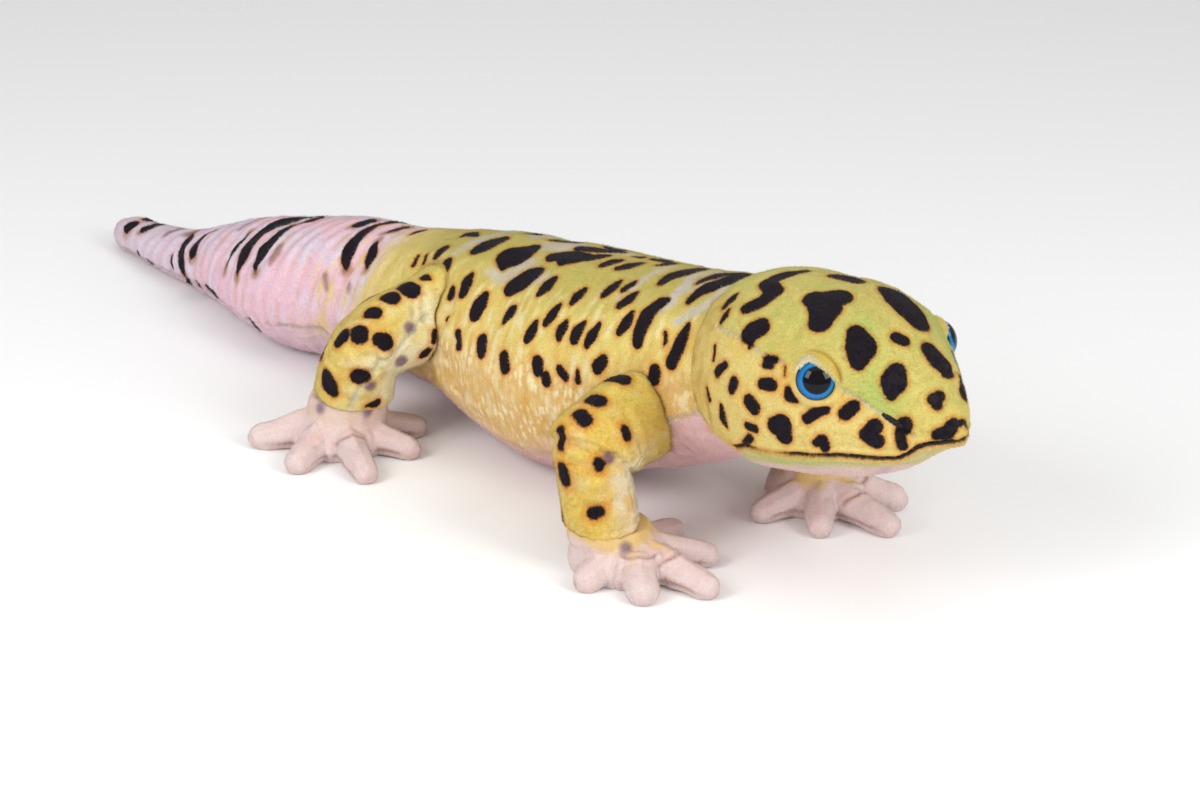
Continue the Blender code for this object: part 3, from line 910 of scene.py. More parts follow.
def shapeFoot(skin, end, sideName):
    side, p = sides[sideName], skin.points
    middle = np.array((side * footPlaces[end, sideName][0], footPlaces[end, sideName][1], 9.0))
    highest = 16.5 if end == "front" else 19  # mm, where the toes' root seams may run
    marks = np.full(len(p), farOff)
    for angle, reach, plump, deep in toes[end]:
        a = side * math.radians(footTurns[end, sideName] + angle)
        way = np.array((math.sin(a), -math.cos(a), 0))
        across = np.array((math.cos(a), math.sin(a), 0))
        beyond = (p - middle) @ way
        beside = np.abs((p - middle) @ across)
        if (end, sideName, angle) == ("front", "right", 97):  # this toe curls forward
            skin.points += np.array((3.0, -2.8, 0)) * (ease(12, 32, beyond) * ease(13, 8, beside))[:, None]
        skin.push(plump * ease(13, 20, beyond) * ease(11, 8, beside))
        above = [middle + way * (reach * 0.42 + 7 - 3.4 * k * k) + across * 6.8 * k + (0, 0, 30)
                 for k in np.linspace(-1, 1, 7)]
        arc = lineThrough(lambda start: hit(skin, start, (0, 0, -1)), zip(above))
        arc = [spot for spot in arc if spot[2] < highest]
        if deep and len(arc) > 4:
            marks = np.minimum(marks, groove(skin, arc, deep, 0.9, 0.7))
        outline = ((16, 7.4), (reach - 2, 5.2), (reach + 4.6, 0), (reach - 2, -5.2), (16, -7.4))
        edge = [tuple(middle + way * far + across * out + (0, 0, -5.2)) for far, out in outline]
        marks = np.minimum(marks, groove(skin, edge, *seams["sole"]))
    skin.push(ripple(p, 7, 81 + len(end)) * 0.35 + ripple(p, 3, 82) * 0.1)
    skin.settle()
    return {"seam": marks}


# The filling presses the cloth out between its seams
stuffing = {
    "voxel": 0.0045,  # m
    "pressure": 4.0,
    "frames": 20,
    "slack": -0.02,  # the cloth is cut this much larger than the form
    "quality": 5,
    "mass": 0.3,
    "head": 1.0,  # mm that a point may move
    "body": 2.2,
    "leg": 1.6,
}


def treeOf(places):
    tree = KDTree(len(places))
    for k, place in enumerate(places):
        tree.insert(place, k)
    tree.balance()
    return tree


def nearestOf(targets, sources, count):  # the nearest sources of each target, with weights
    tree = treeOf(sources)
    index, weights = np.empty((len(targets), count), int), np.empty((len(targets), count))
    for row, place in enumerate(targets):
        for column, (_, k, away) in enumerate(tree.find_n(place, count)):
            index[row, column], weights[row, column] = k, 1 / (away + 1e-4)
    return index, weights / weights.sum(1)[:, None]


def stuff(skin, held, most):  # a coarse copy is simulated, held at its seams, and the skin follows it
    scene = bpy.context.scene
    trial = linked("trial", skin.piece.data.copy())
    remesh(trial, stuffing["voxel"])
    start = coordinates(trial.data)
    fine = coordinates(skin.piece.data)
    index, weights = nearestOf(start, fine[::3], 1)
    pinned = np.nonzero(held[::3][index[:, 0]] > 0.5)[0]
    group = trial.vertex_groups.new(name="held")
    group.add([int(k) for k in pinned], 1.0, "REPLACE")
    cloth = trial.modifiers.new("cloth", "CLOTH")
    cloth.settings.quality = stuffing["quality"]
    cloth.settings.mass = stuffing["mass"]
    cloth.settings.use_pressure = True
    cloth.settings.uniform_pressure_force = stuffing["pressure"]
    cloth.settings.shrink_min = stuffing["slack"]
    cloth.settings.effector_weights.gravity = 0
    cloth.settings.vertex_group_mass = "held"
    cloth.point_cache.frame_start = 1
    cloth.point_cache.frame_end = stuffing["frames"]
    for moment in range(1, stuffing["frames"] + 1):
        scene.frame_set(moment)
    done = coordinates(trial.evaluated_get(bpy.context.evaluated_depsgraph_get()).data)
    scene.frame_set(1)
    bpy.data.objects.remove(trial)
    move = (done - start) * 1000
    size = np.linalg.norm(move, axis=1)
    move *= (most * np.tanh(size / most) / np.maximum(size, 1e-6))[:, None]
    index, weights = nearestOf(fine, start, 4)
    carried = (move[index] * weights[:, :, None]).sum(1)
    for _ in range(6):
        carried += (skin.around(carried) - carried) * 0.5
    skin.points += carried * (1 - held)[:, None]
    skin.feel()
    print(skin.piece.name, "stuffed, moved", round(float(np.linalg.norm(carried, axis=1).mean()), 2), "mm")


def stuffAll():
    p = headSkin.points
    y, turn, off = tubePlaces(p, headAxis)
    held = ease(9, 5, np.abs(off - along([(-130, 80), (-103, 61), (-53, 56), (-20, 50)], y)))
    held = np.maximum(held, ease(6, 3, np.abs(p[:, 2] - along(mouthLine, y))) * ease(-30, -36, y))
    for side in sides.values():
        held = np.maximum(held, ease(18, 13, np.linalg.norm(p - eyeFrame(side)[0], axis=1)))
    stuff(headSkin, held, stuffing["head"])
    p = bodySkin.points
    y, turn, off = tubePlaces(p, bodyAxis)
    seamTurn = np.where(y < 238, along(bellyEdge, y), along(tailSeam, y))
    stuff(bodySkin, np.maximum(ease(8, 4, np.abs(off - seamTurn)), ease(-40, -46, y)), stuffing["body"])
    for (end, sideName), skin in legSkins.items():
        s, turn = legPlaces(skin.points, end, sideName)
        stuff(skin, np.maximum(ease(1.85, 1.95, s), ease(0.4, 0.2, s)), stuffing["leg"])


stuffAll()
print("pieces stuffed")

headMarks = shapeHead(headSkin)
bodyMarks = shapeBody(bodySkin)
legMarks = {key: shapeLeg(skin, *key) for key, skin in legSkins.items()}
footMarks = {key: shapeFoot(skin, *key) for key, skin in footSkins.items()}
print("skins shaped")


# Materials
class Wire:  # a socket that Python's signs work on
    def __init__(self, tree, socket):
        self.tree, self.socket = tree, socket

    def maths(self, operation, other):
        return self.tree.node("ShaderNodeMath", {"operation": operation}, {0: self, 1: other})

    def __add__(self, other): return self.maths("ADD", other)
    def __sub__(self, other): return self.maths("SUBTRACT", other)
    def __mul__(self, other): return self.maths("MULTIPLY", other)
    def __truediv__(self, other): return self.maths("DIVIDE", other)


class Finish:  # a material and its nodes
    def __init__(self, name):
        self.material = bpy.data.materials.new(name)
        self.material.use_nodes = True
        self.nodes = self.material.node_tree.nodes
        self.links = self.material.node_tree.links
        self.shader = self.nodes["Principled BSDF"]

    def node(self, kind, settings=None, values=None, output=0):
        made = self.nodes.new(kind)
        for name, value in (settings or {}).items():
            if name == "stops":
                while len(made.color_ramp.elements) < len(value):
                    made.color_ramp.elements.new(0.5)
                for stop, (place, colour) in zip(made.color_ramp.elements, value):
                    stop.position = place
                    stop.color = (*colour, 1)
            else:
                setattr(made, name, value)
        for name, value in (values or {}).items():
            self.set(made.inputs[name], value)
        return Wire(self, made.outputs[output])

    def set(self, socket, value):
        if isinstance(value, Wire):
            self.links.new(value.socket, socket)
        else:
            socket.default_value = value

    def finish(self, **values):
        for name, value in values.items():
            self.set(self.shader.inputs[name.replace("_", " ")], value)
        return self.material

    def read(self, name, output="Fac"):
        return self.node("ShaderNodeAttribute", {"attribute_name": name}, output=output)

    def place(self):
        return self.node("ShaderNodeTexCoord", output="Object")

    def grain(self, scale, detail=2.0, roughness=0.5):
        values = {"Vector": self.place(), "Scale": scale, "Detail": detail, "Roughness": roughness}
        return self.node("ShaderNodeTexNoise", {}, values)

    def ramp(self, value, low, high, least=0.0, most=1.0):
        values = {"Value": value, "From Min": low, "From Max": high, "To Min": least, "To Max": most}
        return self.node("ShaderNodeMapRange", {"interpolation_type": "SMOOTHSTEP"}, values)

    def mix(self, factor, one, other, way="MIX"):
        settings = {"data_type": "RGBA", "blend_type": way}
        return self.node("ShaderNodeMix", settings, {0: factor, 6: one, 7: other}, output=2)

    def bump(self, height, strength, distance):
        return self.node("ShaderNodeBump", {}, {"Height": height, "Strength": strength, "Distance": distance})

    def channel(self, colour, number):
        return self.node("ShaderNodeSeparateColor", {}, {"Color": colour}, output=number)

    def multiply(self, one, other):
        return self.mix(1.0, one, other, "MULTIPLY")


plush = {
    "ink": (0.008, 0.005, 0.008, 1),
    "inkTip": (0.016, 0.011, 0.017, 1),
    "halo": (0.92, 0.47, 0.21, 1),  # what the ground is multiplied by round a spot
    "scale": (0.86, 0.74, 0.46, 1),
    "joint": (0.36, 0.20, 0.05),  # painted shade where a sleeve and the body touch, with the dark seam line along that joint
    "feather": 0.9,  # mm that a spot's edge wanders
    "sheen": 0.05,
    "roughness": 0.88,
}


def plushFinish(name, least, most, depth):
    f = Finish(name)
    spot, ground = f.read("spot"), f.read("ground", "Color")
    fine, coarse = f.grain(1900, 2), f.grain(620, 3, 0.6)
    wander = (fine - 0.5) * plush["feather"] + (coarse - 0.5) * 1.1
    ink = f.ramp(spot + wander, 0.5, -0.45)
    yellowness = f.channel(ground, 0) - f.channel(ground, 2)
    halo = f.ramp(spot + (coarse - 0.5) * 1.5, 2.4, -0.2) * f.ramp(yellowness, 0.08, 0.35, 0.15, 1.0)
    speckle = f.ramp(f.grain(1500, 3, 0.7), 0.25, 0.75, least, most) * f.ramp(f.read("tip"), 0.0, 1.0, 0.9, 1.15)
    lit = f.multiply(ground, f.node("ShaderNodeCombineColor", {}, {0: speckle, 1: speckle, 2: speckle}))
    turned = {"Vector": f.place(), "Rotation": (0.45, 0, 0), "Scale": (1, 1.9, 0.85)}
    cells = {"Vector": f.node("ShaderNodeMapping", {}, turned), "Scale": 200.0, "Randomness": 1.0}
    scales = f.node("ShaderNodeTexVoronoi", {"feature": "F1"}, cells)
    pale = f.ramp(scales + (coarse - 0.5) * 0.7, 0.62, 0.18) * f.read("scaly")
    lit = f.mix(pale * f.ramp(f.grain(70, 1), 0.35, 0.6, 0.25, 0.9), lit, plush["scale"])
    warm = f.mix(halo * 0.8, lit, f.multiply(lit, plush["halo"]))
    colour = f.mix(ink, warm, f.mix(f.ramp(fine, 0.45, 0.7), plush["ink"], plush["inkTip"]))
    sleek = ink * f.read("sleek") * f.ramp(f.grain(380, 2), 0.42, 0.6)
    return f.finish(Base_Color=colour, Roughness=sleek * -0.5 + plush["roughness"],
                    Normal=f.bump(fine + coarse * 0.8, depth, 0.0006), Sheen_Weight=plush["sheen"],
                    Sheen_Roughness=0.45, Specular_IOR_Level=0.14)


plushCloth = plushFinish("plushCloth", 0.82, 1.14, 0.35)
footCloth = plushFinish("footCloth", 0.88, 1.1, 0.25)
print("materials made")


# The cloth's ground colours, before its spots
class Dye:  # a skin's ground colour, laid on one wash over another
    def __init__(self, colours, base, count):
        self.colours = colours
        self.values = np.tile(colours[base], (count, 1))

    def over(self, name, amount):  # one colour laid over what is there
        self.values = tinted(self.values, self.colours[name], amount)


headCloth = {
    "crown": (0.60, 0.50, 0.14),
    "crownRear": (0.62, 0.55, 0.16),
    "green": (0.36, 0.50, 0.13),
    "snout": (0.66, 0.53, 0.15),
    "cheek": (0.72, 0.57, 0.19),
    "gold": (0.74, 0.50, 0.12),
    "chinEdge": (0.62, 0.55, 0.24),
    "chin": (0.76, 0.55, 0.50),
    "throat": (0.72, 0.46, 0.45),
    "frayed": (0.82, 0.78, 0.52),
    "lid": (0.66, 0.49, 0.10),
    # painted shade along the crease over each lid
    "crease": (0.50, 0.26, 0.05),
    "chinGreen": (0.50, 0.52, 0.16),
    "chinShade": (0.50, 0.34, 0.38),
    # painted shade where the head overhangs the neck
    "rearShade": (0.50, 0.27, 0.05),
}
cheekSeam = [(-130, 80), (-114, 74), (-103, 61), (-98, 58), (-91, 57), (-63, 55), (-53, 56), (-36, 52), (-20, 50)]


def headGround(skin):
    p = skin.points
    y, turn, off = tubePlaces(p, headAxis)
    dye = Dye(headCloth, "crown", len(p))
    dye.over("crownRear", ease(-70, -20, y))
    dye.over("snout", ease(-96, -112, y) * ease(-0.2, 0.6, ripple(p, 9, 3) + 0.4))
    cheek = ease(-3, 3, off - along(cheekSeam, y))
    dye.over("cheek", cheek)
    dye.over("gold", cheek * ease(0.1, 0.9, ripple(p, 8, 5, (0.7, 1, 1.6))) * 0.6)
    green = (bothSides(p, 20, -98, 102, 12) * (1 - cheek) + bothSides(p, 17, -84, 122, 11) * 0.55
             + bothSides(p, 27, -60, 127, 9) * 0.3)
    green += 0.35 * (1 - cheek) * ease(0.2, 1, ripple(p, 11, 9)) + bothSides(p, 0, -118, 103, 7) * 0.2
    dye.over("green", np.clip(green, 0, 1) * 0.75)
    dye.over("gold", (1 - cheek) * ease(0.25, 1, ripple(p, 7, 12)) * 0.3)
    overLip = p[:, 2] - along(mouthLine, y)
    under = ease(0.5, -1.5, overLip) * ease(-34, -40, y)
    dye.over("chinEdge", under)
    chinSides = np.clip(bothSides(p, 34, -82, 68, 14) + bothSides(p, 38, -60, 62, 14), 0, 1)
    dye.over("chinGreen", under * chinSides * 0.75)
    pink = ease(-4, -9, overLip + ease(-95, -50, y) * 2.5 + ripple(p, 9, 15) * 1.2) * ease(-28, -40, y)
    pink = np.clip(pink + ease(62, 52, p[:, 2]) * ease(-40, -28, y), 0, 1)
    dye.over("chin", pink)
    dye.over("chinShade", pink * ease(0.1, 0.9, ripple(p, 10, 16)) * ease(-60, -80, y) * 0.45)
    dye.over("throat", pink * ease(58, 50, p[:, 2]) * ease(-100, -70, y))
    # painted shade on the back of the head, where it overhangs the neck
    rear = ease(0.1, 0.55, skin.normals[:, 1]) * ease(-50, -40, y) * ease(20, 40, off)
    dye.over("rearShade", rear * (0.35 + 0.45 * ease(-0.2, 0.6, ripple(p, 6, 17))))
    dye.over("frayed", ease(0.7, 0.15, headMarks["seam"] + ripple(p, 1.5, 14) * 0.3) * 0.5)
    for side, rim in zip(sides.values(), headMarks["rims"]):
        middle, front, upward, gaze = eyeFrame(side)
        local = p - middle
        a, b = local @ front, local @ upward
        ring = np.hypot(a, b)
        here = (local @ gaze > -5) & (ring < 20)
        dye.over("lid", here * ease(12, 10, ring) * ease(-4, 3, b) * 0.8)
        dye.over("frayed", here * ease(1.7, 0.7, rim) * ease(1, 4, b) * ease(6, -4, a) * 0.8)
        # painted shade in the crease over the lid
        dye.over("crease", here * bell(ring - lidCrease(a), 0.6) * ease(-3, 4, b) * ease(-9, -2, a) * 0.7)
    return dye.values


bodyCloth = {
    "back": (0.55, 0.46, 0.12),
    "flank": (0.76, 0.60, 0.18),
    "bright": (0.84, 0.71, 0.25),
    "orange": (0.72, 0.42, 0.09),
    "whitish": (0.84, 0.76, 0.50),
    "lowFlank": (0.77, 0.50, 0.19),
    "pink": (0.80, 0.51, 0.52),
    "lilacPatch": (0.60, 0.54, 0.50),
    "olive": (0.52, 0.47, 0.10),
    "neckGold": (0.62, 0.44, 0.06),
    "bellyWarm": (0.78, 0.52, 0.46),
    "rump": (0.80, 0.62, 0.22),
    "seamTan": (0.80, 0.58, 0.30),
    "brown": (0.34, 0.17, 0.11),
    "tail": (0.76, 0.62, 0.74),
    "tailWhite": (0.82, 0.72, 0.80),
    "tailPink": (0.88, 0.56, 0.64),
    "tailGold": (0.82, 0.60, 0.26),
    "ring": (0.86, 0.50, 0.54),
    "streak": (0.78, 0.48, 0.30),
    "bandEnd": (0.44, 0.26, 0.18),
    "tailBelly": (0.80, 0.58, 0.66),
    "tip": (0.66, 0.50, 0.48),
}
lilacPatches = [  # whitish places between the spots along the back: (y, turn, radius)
    [(134, 33, 3), (126, 34, 4), (121, 28, 4), (117, 22, 4)],
    [(114, 22, 4), (105, 33, 2.5), (99, 28, 3)],
    [(121, 6, 4), (112, 3, 5), (108, -4, 4)],
    [(134, -4, 4), (140, -14, 5), (128, -18, 5)],
    [(30, 44, 1.5), (21, 34, 3), (21, 20, 3.5), (24, 4, 3), (20, -8, 3)],
    [(10, 44, 1.5), (0, 30, 3), (0, 12, 4), (-3, -4, 4)],
    [(16, 22, 1), (12, 12, 2), (10, 2, 2.5), (4, -12, 2)],
    [(50, 34, 1.5), (47, 20, 2.5), (47, 8, 2.5), (46, -6, 2)],
    [(165, 28, 2), (162, 14, 4), (160, 0, 4), (158, -14, 4)],
    [(86, -2, 2.5), (78, -8, 2)],
]


def tailGround(p, off, fine):
    y = p[:, 1]
    rings = np.sin(tailRings(p))
    bands = spotField(p, bothWays(tailBands), onBody)
    longBands = [band for band in bothWays(tailBands) if len(band) > 2]
    ends = spotField(p, [[(y, turn, 2.2)] for band in longBands for y, turn, _ in (band[0], band[-1])], onBody)
    bandEnds = ease(3.2, -0.5, ends + fine * 0.8) * ease(4, 1, bands) + ease(2.0, 0, bands) * ease(0.1, 0.7, fine) * 0.5
    dye = Dye(bodyCloth, "tail", len(p))
    dye.over("tailWhite", ease(-0.3, 1, rings) * 0.9)
    blush = ripple(p, 17, 44) + ease(50, 90, off) * 0.6 + ease(330, 240, y) * 0.3
    dye.over("tailPink", ease(-0.2, 0.8, blush) * ease(430, 330, y) * 0.8)
    dye.over("ring", ease(-0.5, -0.95, rings) * ease(-0.5, 0.3, ripple(p, 12, 45)) * ease(440, 380, y) * 0.8)
    streaks = ease(0.0, 0.8, ripple(p, 10, 47, (1.6, 0.5, 1.6)))
    dye.over("streak", ease(-0.2, -0.9, rings) * streaks * ease(400, 300, y) * 0.8)
    golden = ease(-0.1, 0.6, ripple(p, 7, 48, (2.2, 0.5, 2.2)))
    dye.over("tailGold", golden * ease(275, 235, y + ease(60, 20, off) * 12) * 0.9)
    dye.over("bandEnd", bandEnds * 0.75)
    dye.over("tailBelly", ease(95, 115, off) * 0.8)
    dye.over("tip", ease(405, 455, y) * 0.3 + ease(452, 462, y) * 0.4)
    return dye.values


def bodyGround(skin):
    p = skin.points
    y, turn, off = tubePlaces(p, bodyAxis)
    mottle, fine = ripple(p, 12, 21), ripple(p, 4.5, 22)
    dye = Dye(bodyCloth, "back", len(p))
    dye.over("flank", ease(22, 62, off + mottle * 8))
    dye.over("lowFlank", ease(62, 88, off + mottle * 6))
    streaks, blotches = ripple(p, 5.5, 26, (1.6, 0.6, 2.4)), ripple(p, 9, 27, (1.3, 0.8, 1.5))
    side = ease(24, 48, off)
    warm = ease(0.1, 0.9, streaks) * side * (0.35 + 0.35 * ease(50, 80, off))
    dye.over("orange", warm + ease(0.3, 1, blotches) * side * 0.3)
    dye.over("bright", ease(-0.05, -0.7, streaks) * side * ease(100, 80, off) * 0.6)
    white = ease(-0.35, -0.9, streaks + fine * 0.3) * side * 0.5
    dye.over("whitish", white + ease(0.55, 1.1, -blotches) * ease(15, 40, off) * 0.35)
    dye.over("olive", ease(0.3, 1, ripple(p, 8, 28)) * (1 - side) * 0.35)
    dye.over("neckGold", ease(0, -25, y + mottle * 6) * ease(30, 55, off) * 0.7)
    patches = spotField(p, lilacPatches + mirrored(lilacPatches[:2], np.random.default_rng(8), 15), onBody)
    dye.over("lilacPatch", ease(2.2, -2.4, patches + fine * 1.6) * (0.72 + 0.2 * mottle))
    softness = along([(-30, 3), (30, 4), (60, 16), (235, 18)], y)
    belly = ease(-1, 1, (off - along(bellyEdge, y)) / softness)
    dye.over("pink", belly)
    dye.over("bellyWarm", belly * ease(0, 1, mottle) * 0.5)
    dye.over("rump", ease(178, 212, y + mottle * 4) * ease(1.1, 0.2, belly) * 0.75)
    dye.over("seamTan", ease(1.6, 0.2, bodyMarks["seam"]) * ease(150, 60, y) * 0.5)
    dye.values = tinted(dye.values, tailGround(p, off, fine), ease(204, 232, y + mottle * 5))
    dye.over("brown", ease(1.4, -1.6, spotField(p, bothWays(brownBands), onBody)) * 0.8)
    return dye.values


legCloth = {
    "front": {"gold": (0.72, 0.51, 0.11), "pale": (0.72, 0.55, 0.22), "cream": (0.80, 0.67, 0.43),
              "low": (0.76, 0.47, 0.13), "hemAmount": 0.3, "creamAmount": 0.3},
    "hind": {"gold": (0.73, 0.56, 0.15), "pale": (0.78, 0.66, 0.28), "cream": (0.86, 0.79, 0.55),
             "low": (0.72, 0.42, 0.09), "hemAmount": 0.6, "creamAmount": 0.6},
    "both": {"upper": (0.68, 0.58, 0.14), "orange": (0.74, 0.40, 0.08), "hem": (0.68, 0.34, 0.06),
             "seam": (0.86, 0.80, 0.60), "plum": (0.19, 0.09, 0.17)},
}


def legGround(skin, end, sideName):
    p = skin.points
    s, turn = legPlaces(p, end, sideName)
    colours = {**legCloth[end], **legCloth["both"]}
    mottle = ripple(p, 9, 51 + len(sideName))
    dye = Dye(colours, "gold", len(p))
    dye.over("pale", ease(0.0, 0.9, mottle + ease(120, 170, np.abs(turn)) * 0.8) * 0.8)
    dye.over("upper", ease(40, 100, turn) * ease(150, 110, turn) * ease(1.0, 0.6, s) * 0.6)
    if end == "front":
        reach, strength = 16 * ease(1.0, 1.3, s), ease(0.3, 0.8, s) * (0.6 + 0.4 * ease(1.0, 1.3, s))
    else:
        reach, strength = 0, 0.8
    dye.over("cream", ease(22, -22, turn - reach + mottle * 12) * ease(-150, -110, turn) * strength)
    if end == "hind":
        dye.over("cream", nearPlace(p, tuple(onLeg(skin, end, sideName, 0.38, 42)), 9) * 0.6)
    dye.over("orange", ease(0.2, 0.9, ripple(p, 6, 57)) * (0.35 + 0.25 * ease(0.7, 1.2, s)))
    dye.over("hem", ease(s.max() - 0.16, s.max() - 0.03, s) * colours["hemAmount"])
    seam = legMarks[end, sideName]["seam"]
    dye.over("seam", ease(1.2, 0.2, seam) * 0.75)
    dye.over("cream", ease(8, 1, seam) * ease(10, -10, mottle * 10) * colours["creamAmount"])
    dye.over("low", ease(0.3, 1.0, ripple(p, 7, 58)) * ease(1.2, 1.6, s) * 0.3)
    plum = spotField(p, plumSpots[end], lambda s, turn: onLeg(skin, end, sideName, s, turn))
    dye.over("plum", ease(1.4, -1.0, plum) * 0.88)
    return dye.values


footColours = {
    "toe": (0.75, 0.61, 0.585),
    "pink": (0.76, 0.54, 0.52),
    "shade": (0.68, 0.45, 0.42),
    # painted shade in the toes' root creases and along the sole seams
    "crease": (0.58, 0.27, 0.22),
    "yellow": (0.76, 0.52, 0.16),
    "plum": (0.20, 0.13, 0.20),
    "yellowAmount": {"front": 0.85, "hind": 0.18},
}
footPlums = {"front": [(11.4, -9, 17)], "hind": [(12, -5, 23.2), (-1, -23, 22.6)]}  # mm out, forward and up


def footGround(skin, end, sideName):
    p, side = skin.points, sides[sideName]
    mottle = ripple(p, 7, 61 + len(sideName))
    seam = footMarks[end, sideName]["seam"]
    dye = Dye(footColours, "toe", len(p))
    dye.over("pink", ease(0, 1, mottle) * 0.5 + ease(4, 14, p[:, 2]) * 0.3)
    dye.over("shade", ease(0.4, 1.1, ripple(p, 4, 66)) * 0.35)
    # painted shade in the toes' root creases and along the sole seams
    dye.over("crease", ease(1.4, 0.1, seam) * 0.6 + ease(5, 1, seam) * 0.12)
    dye.over("yellow", ease(13.5, 18.5, p[:, 2] + mottle * 2.5) * footColours["yellowAmount"][end])
    x, y = footPlaces[end, sideName]
    for across, ahead, up in footPlums[end]:
        way = np.array((side * across, ahead, 0)) / math.hypot(across, ahead)
        found = hit(skin, (side * x + way[0] * 40, y + way[1] * 40, up), -way)
        if found is not None:
            away = np.linalg.norm(p - tuple(found), axis=1)
            dye.over("plum", ease(4.6, 1.0, away + mottle * 0.5) * 0.85)
    return dye.values


def paint(skin, ground, spots, scaly=None, cloth=plushCloth):
    storeColour(skin.piece, "ground", np.clip(ground, 0.002, 0.98))
    storeFloat(skin.piece, "scaly", np.zeros(len(spots)) if scaly is None else scaly)
    storeFloat(skin.piece, "sleek", ease(-96, -104, skin.points[:, 1]))
    storeFloat(skin.piece, "spot", spots)
    skin.piece.data.materials.append(cloth)


def joint(points, others):  # 1 where other points nearly touch, 0 from 2 mm away; it places the painted shade between pieces
    picked = within(points, others.min(0) - 3, others.max(0) + 3)
    tree = treeOf(others)
    close = np.zeros(len(points))
    close[picked] = ease(1.7, 0.7, [tree.find(place)[2] for place in points[picked]])
    return close


def paintHead():
    near = crownSpots + snoutSpots + cheekSpots
    far = mirrored(crownSpots[-2:] + snoutSpots[5:] + cheekSpots, chance, 24) + farHeadSpots
    spots = spotField(headSkin.points, near + far, onHead)
    paint(headSkin, headGround(headSkin), np.minimum(spots, headMarks["lips"] - 1.0))


def paintBody():
    p = bodySkin.points
    spots = trunkSpots + spineSpots + mirrored(trunkSpots, chance, 22) + bothWays(tapered(tailBands))
    ground = bodyGround(bodySkin)
    y, turn, off = tubePlaces(p, bodyAxis)
    flank = ease(60, 84, off) * ease(150, 120, off) * ease(35, 60, y) * ease(215, 190, y)
    scaly = (flank + ease(48, 70, off) * ease(15, -2, y) * 0.5) * ease(2, -6, off - along(bellyEdge, y))
    # painted shade, with a dark seam line, where each sleeve meets the body
    for skin in legSkins.values():
        ground = tinted(ground, plush["joint"], joint(p, skin.points) * 0.55)
    paint(bodySkin, ground, spotField(p, spots, onBody), scaly)


def paintLeg(skin, end, sideName):
    groups = legSpots[end]
    if (end, sideName) == ("hind", "left"):  # this thigh is shorter, so its spots are fewer and smaller
        kept = [group for k, group in enumerate(groups) if k not in (1, 4, 6)]
        groups = [[(s, turn, radius * 0.82) for s, turn, radius in group] for group in kept]
    softness = {"front": 1.6, "hind": 1.2}[end]
    spots = spotField(skin.points, groups, lambda s, turn: onLeg(skin, end, sideName, s, turn), softness)
    ground = legGround(skin, end, sideName)
    # painted shade, with a dark seam line, where the sleeve meets the body
    paint(skin, tinted(ground, plush["joint"], joint(skin.points, bodySkin.points) * 0.55), spots)


chance = np.random.default_rng(4)
paintHead()
paintBody()
for (end, sideName), skin in legSkins.items():
    paintLeg(skin, end, sideName)
for (end, sideName), skin in footSkins.items():
    paint(skin, footGround(skin, end, sideName), np.full(len(skin.points), farOff), cloth=footCloth)
print("cloth painted")


# The pile: short leaning tufts, each with its root's colours
pile = {
    "frayed": (0.88, 0.84, 0.62),
    "pinkFrayed": (0.84, 0.70, 0.66),
    "bellyFrayed": (0.88, 0.78, 0.68),
    "thick": 0.13,  # mm, half a tuft's width at its root
    "deep": 0.12,  # mm that a root goes into the cloth
    "lean": 58,  # degrees from upright
    "lidShort": 0.45,  # mm that tufts on the lids are shorter
    "fringeWidth": 0.7,  # mm to each side of a seam
}
coats = {  # how many tufts, and their length in mm
    "head": (47000, 1.05),
    "trunk": (46000, 1.15),  # for each half
    "tail": (38000, 1.15),
    "leg": (15000, 1.1),
    "foot": (10000, 0.6),
    "headFringe": (5500, 1.1),
    "bodyFringe": (9000, 1.7),
    "hem": (3500, 1.5),
    "footFringe": (2500, 0.8),
}
tuftFaces = np.array([(0, 1, 3), (1, 2, 3), (2, 0, 3), (2, 1, 0)])
tuftPatch = np.array([(0, 0.0016), (-0.0014, -0.0008), (0.0014, -0.0008), (0, 0)])  # a tuft's points on the map


def trianglesOf(mesh):  # each triangle's points, and its corners
    mesh.calc_loop_triangles()
    verts, loops = (np.empty(len(mesh.loop_triangles) * 3, np.int32) for _ in range(2))
    mesh.loop_triangles.foreach_get("vertices", verts)
    mesh.loop_triangles.foreach_get("loops", loops)
    return verts.reshape(-1, 3), loops.reshape(-1, 3)


def stored(mesh, name, width):
    values = np.empty(len(mesh.vertices) * width, np.float32)
    mesh.attributes[name].data.foreach_get({1: "value", 4: "color"}[width], values)
    return values.reshape(-1, width)


def tuftMesh(name, points, index):
    made = bpy.data.meshes.new(name)
    made.vertices.add(len(points))
    made.loops.add(len(index))
    made.loops.foreach_set("vertex_index", index)
    made.polygons.add(len(index) // 3)
    made.polygons.foreach_set("loop_start", np.arange(0, len(index), 3, dtype=np.int32))
    setPoints(made, points)
    return made


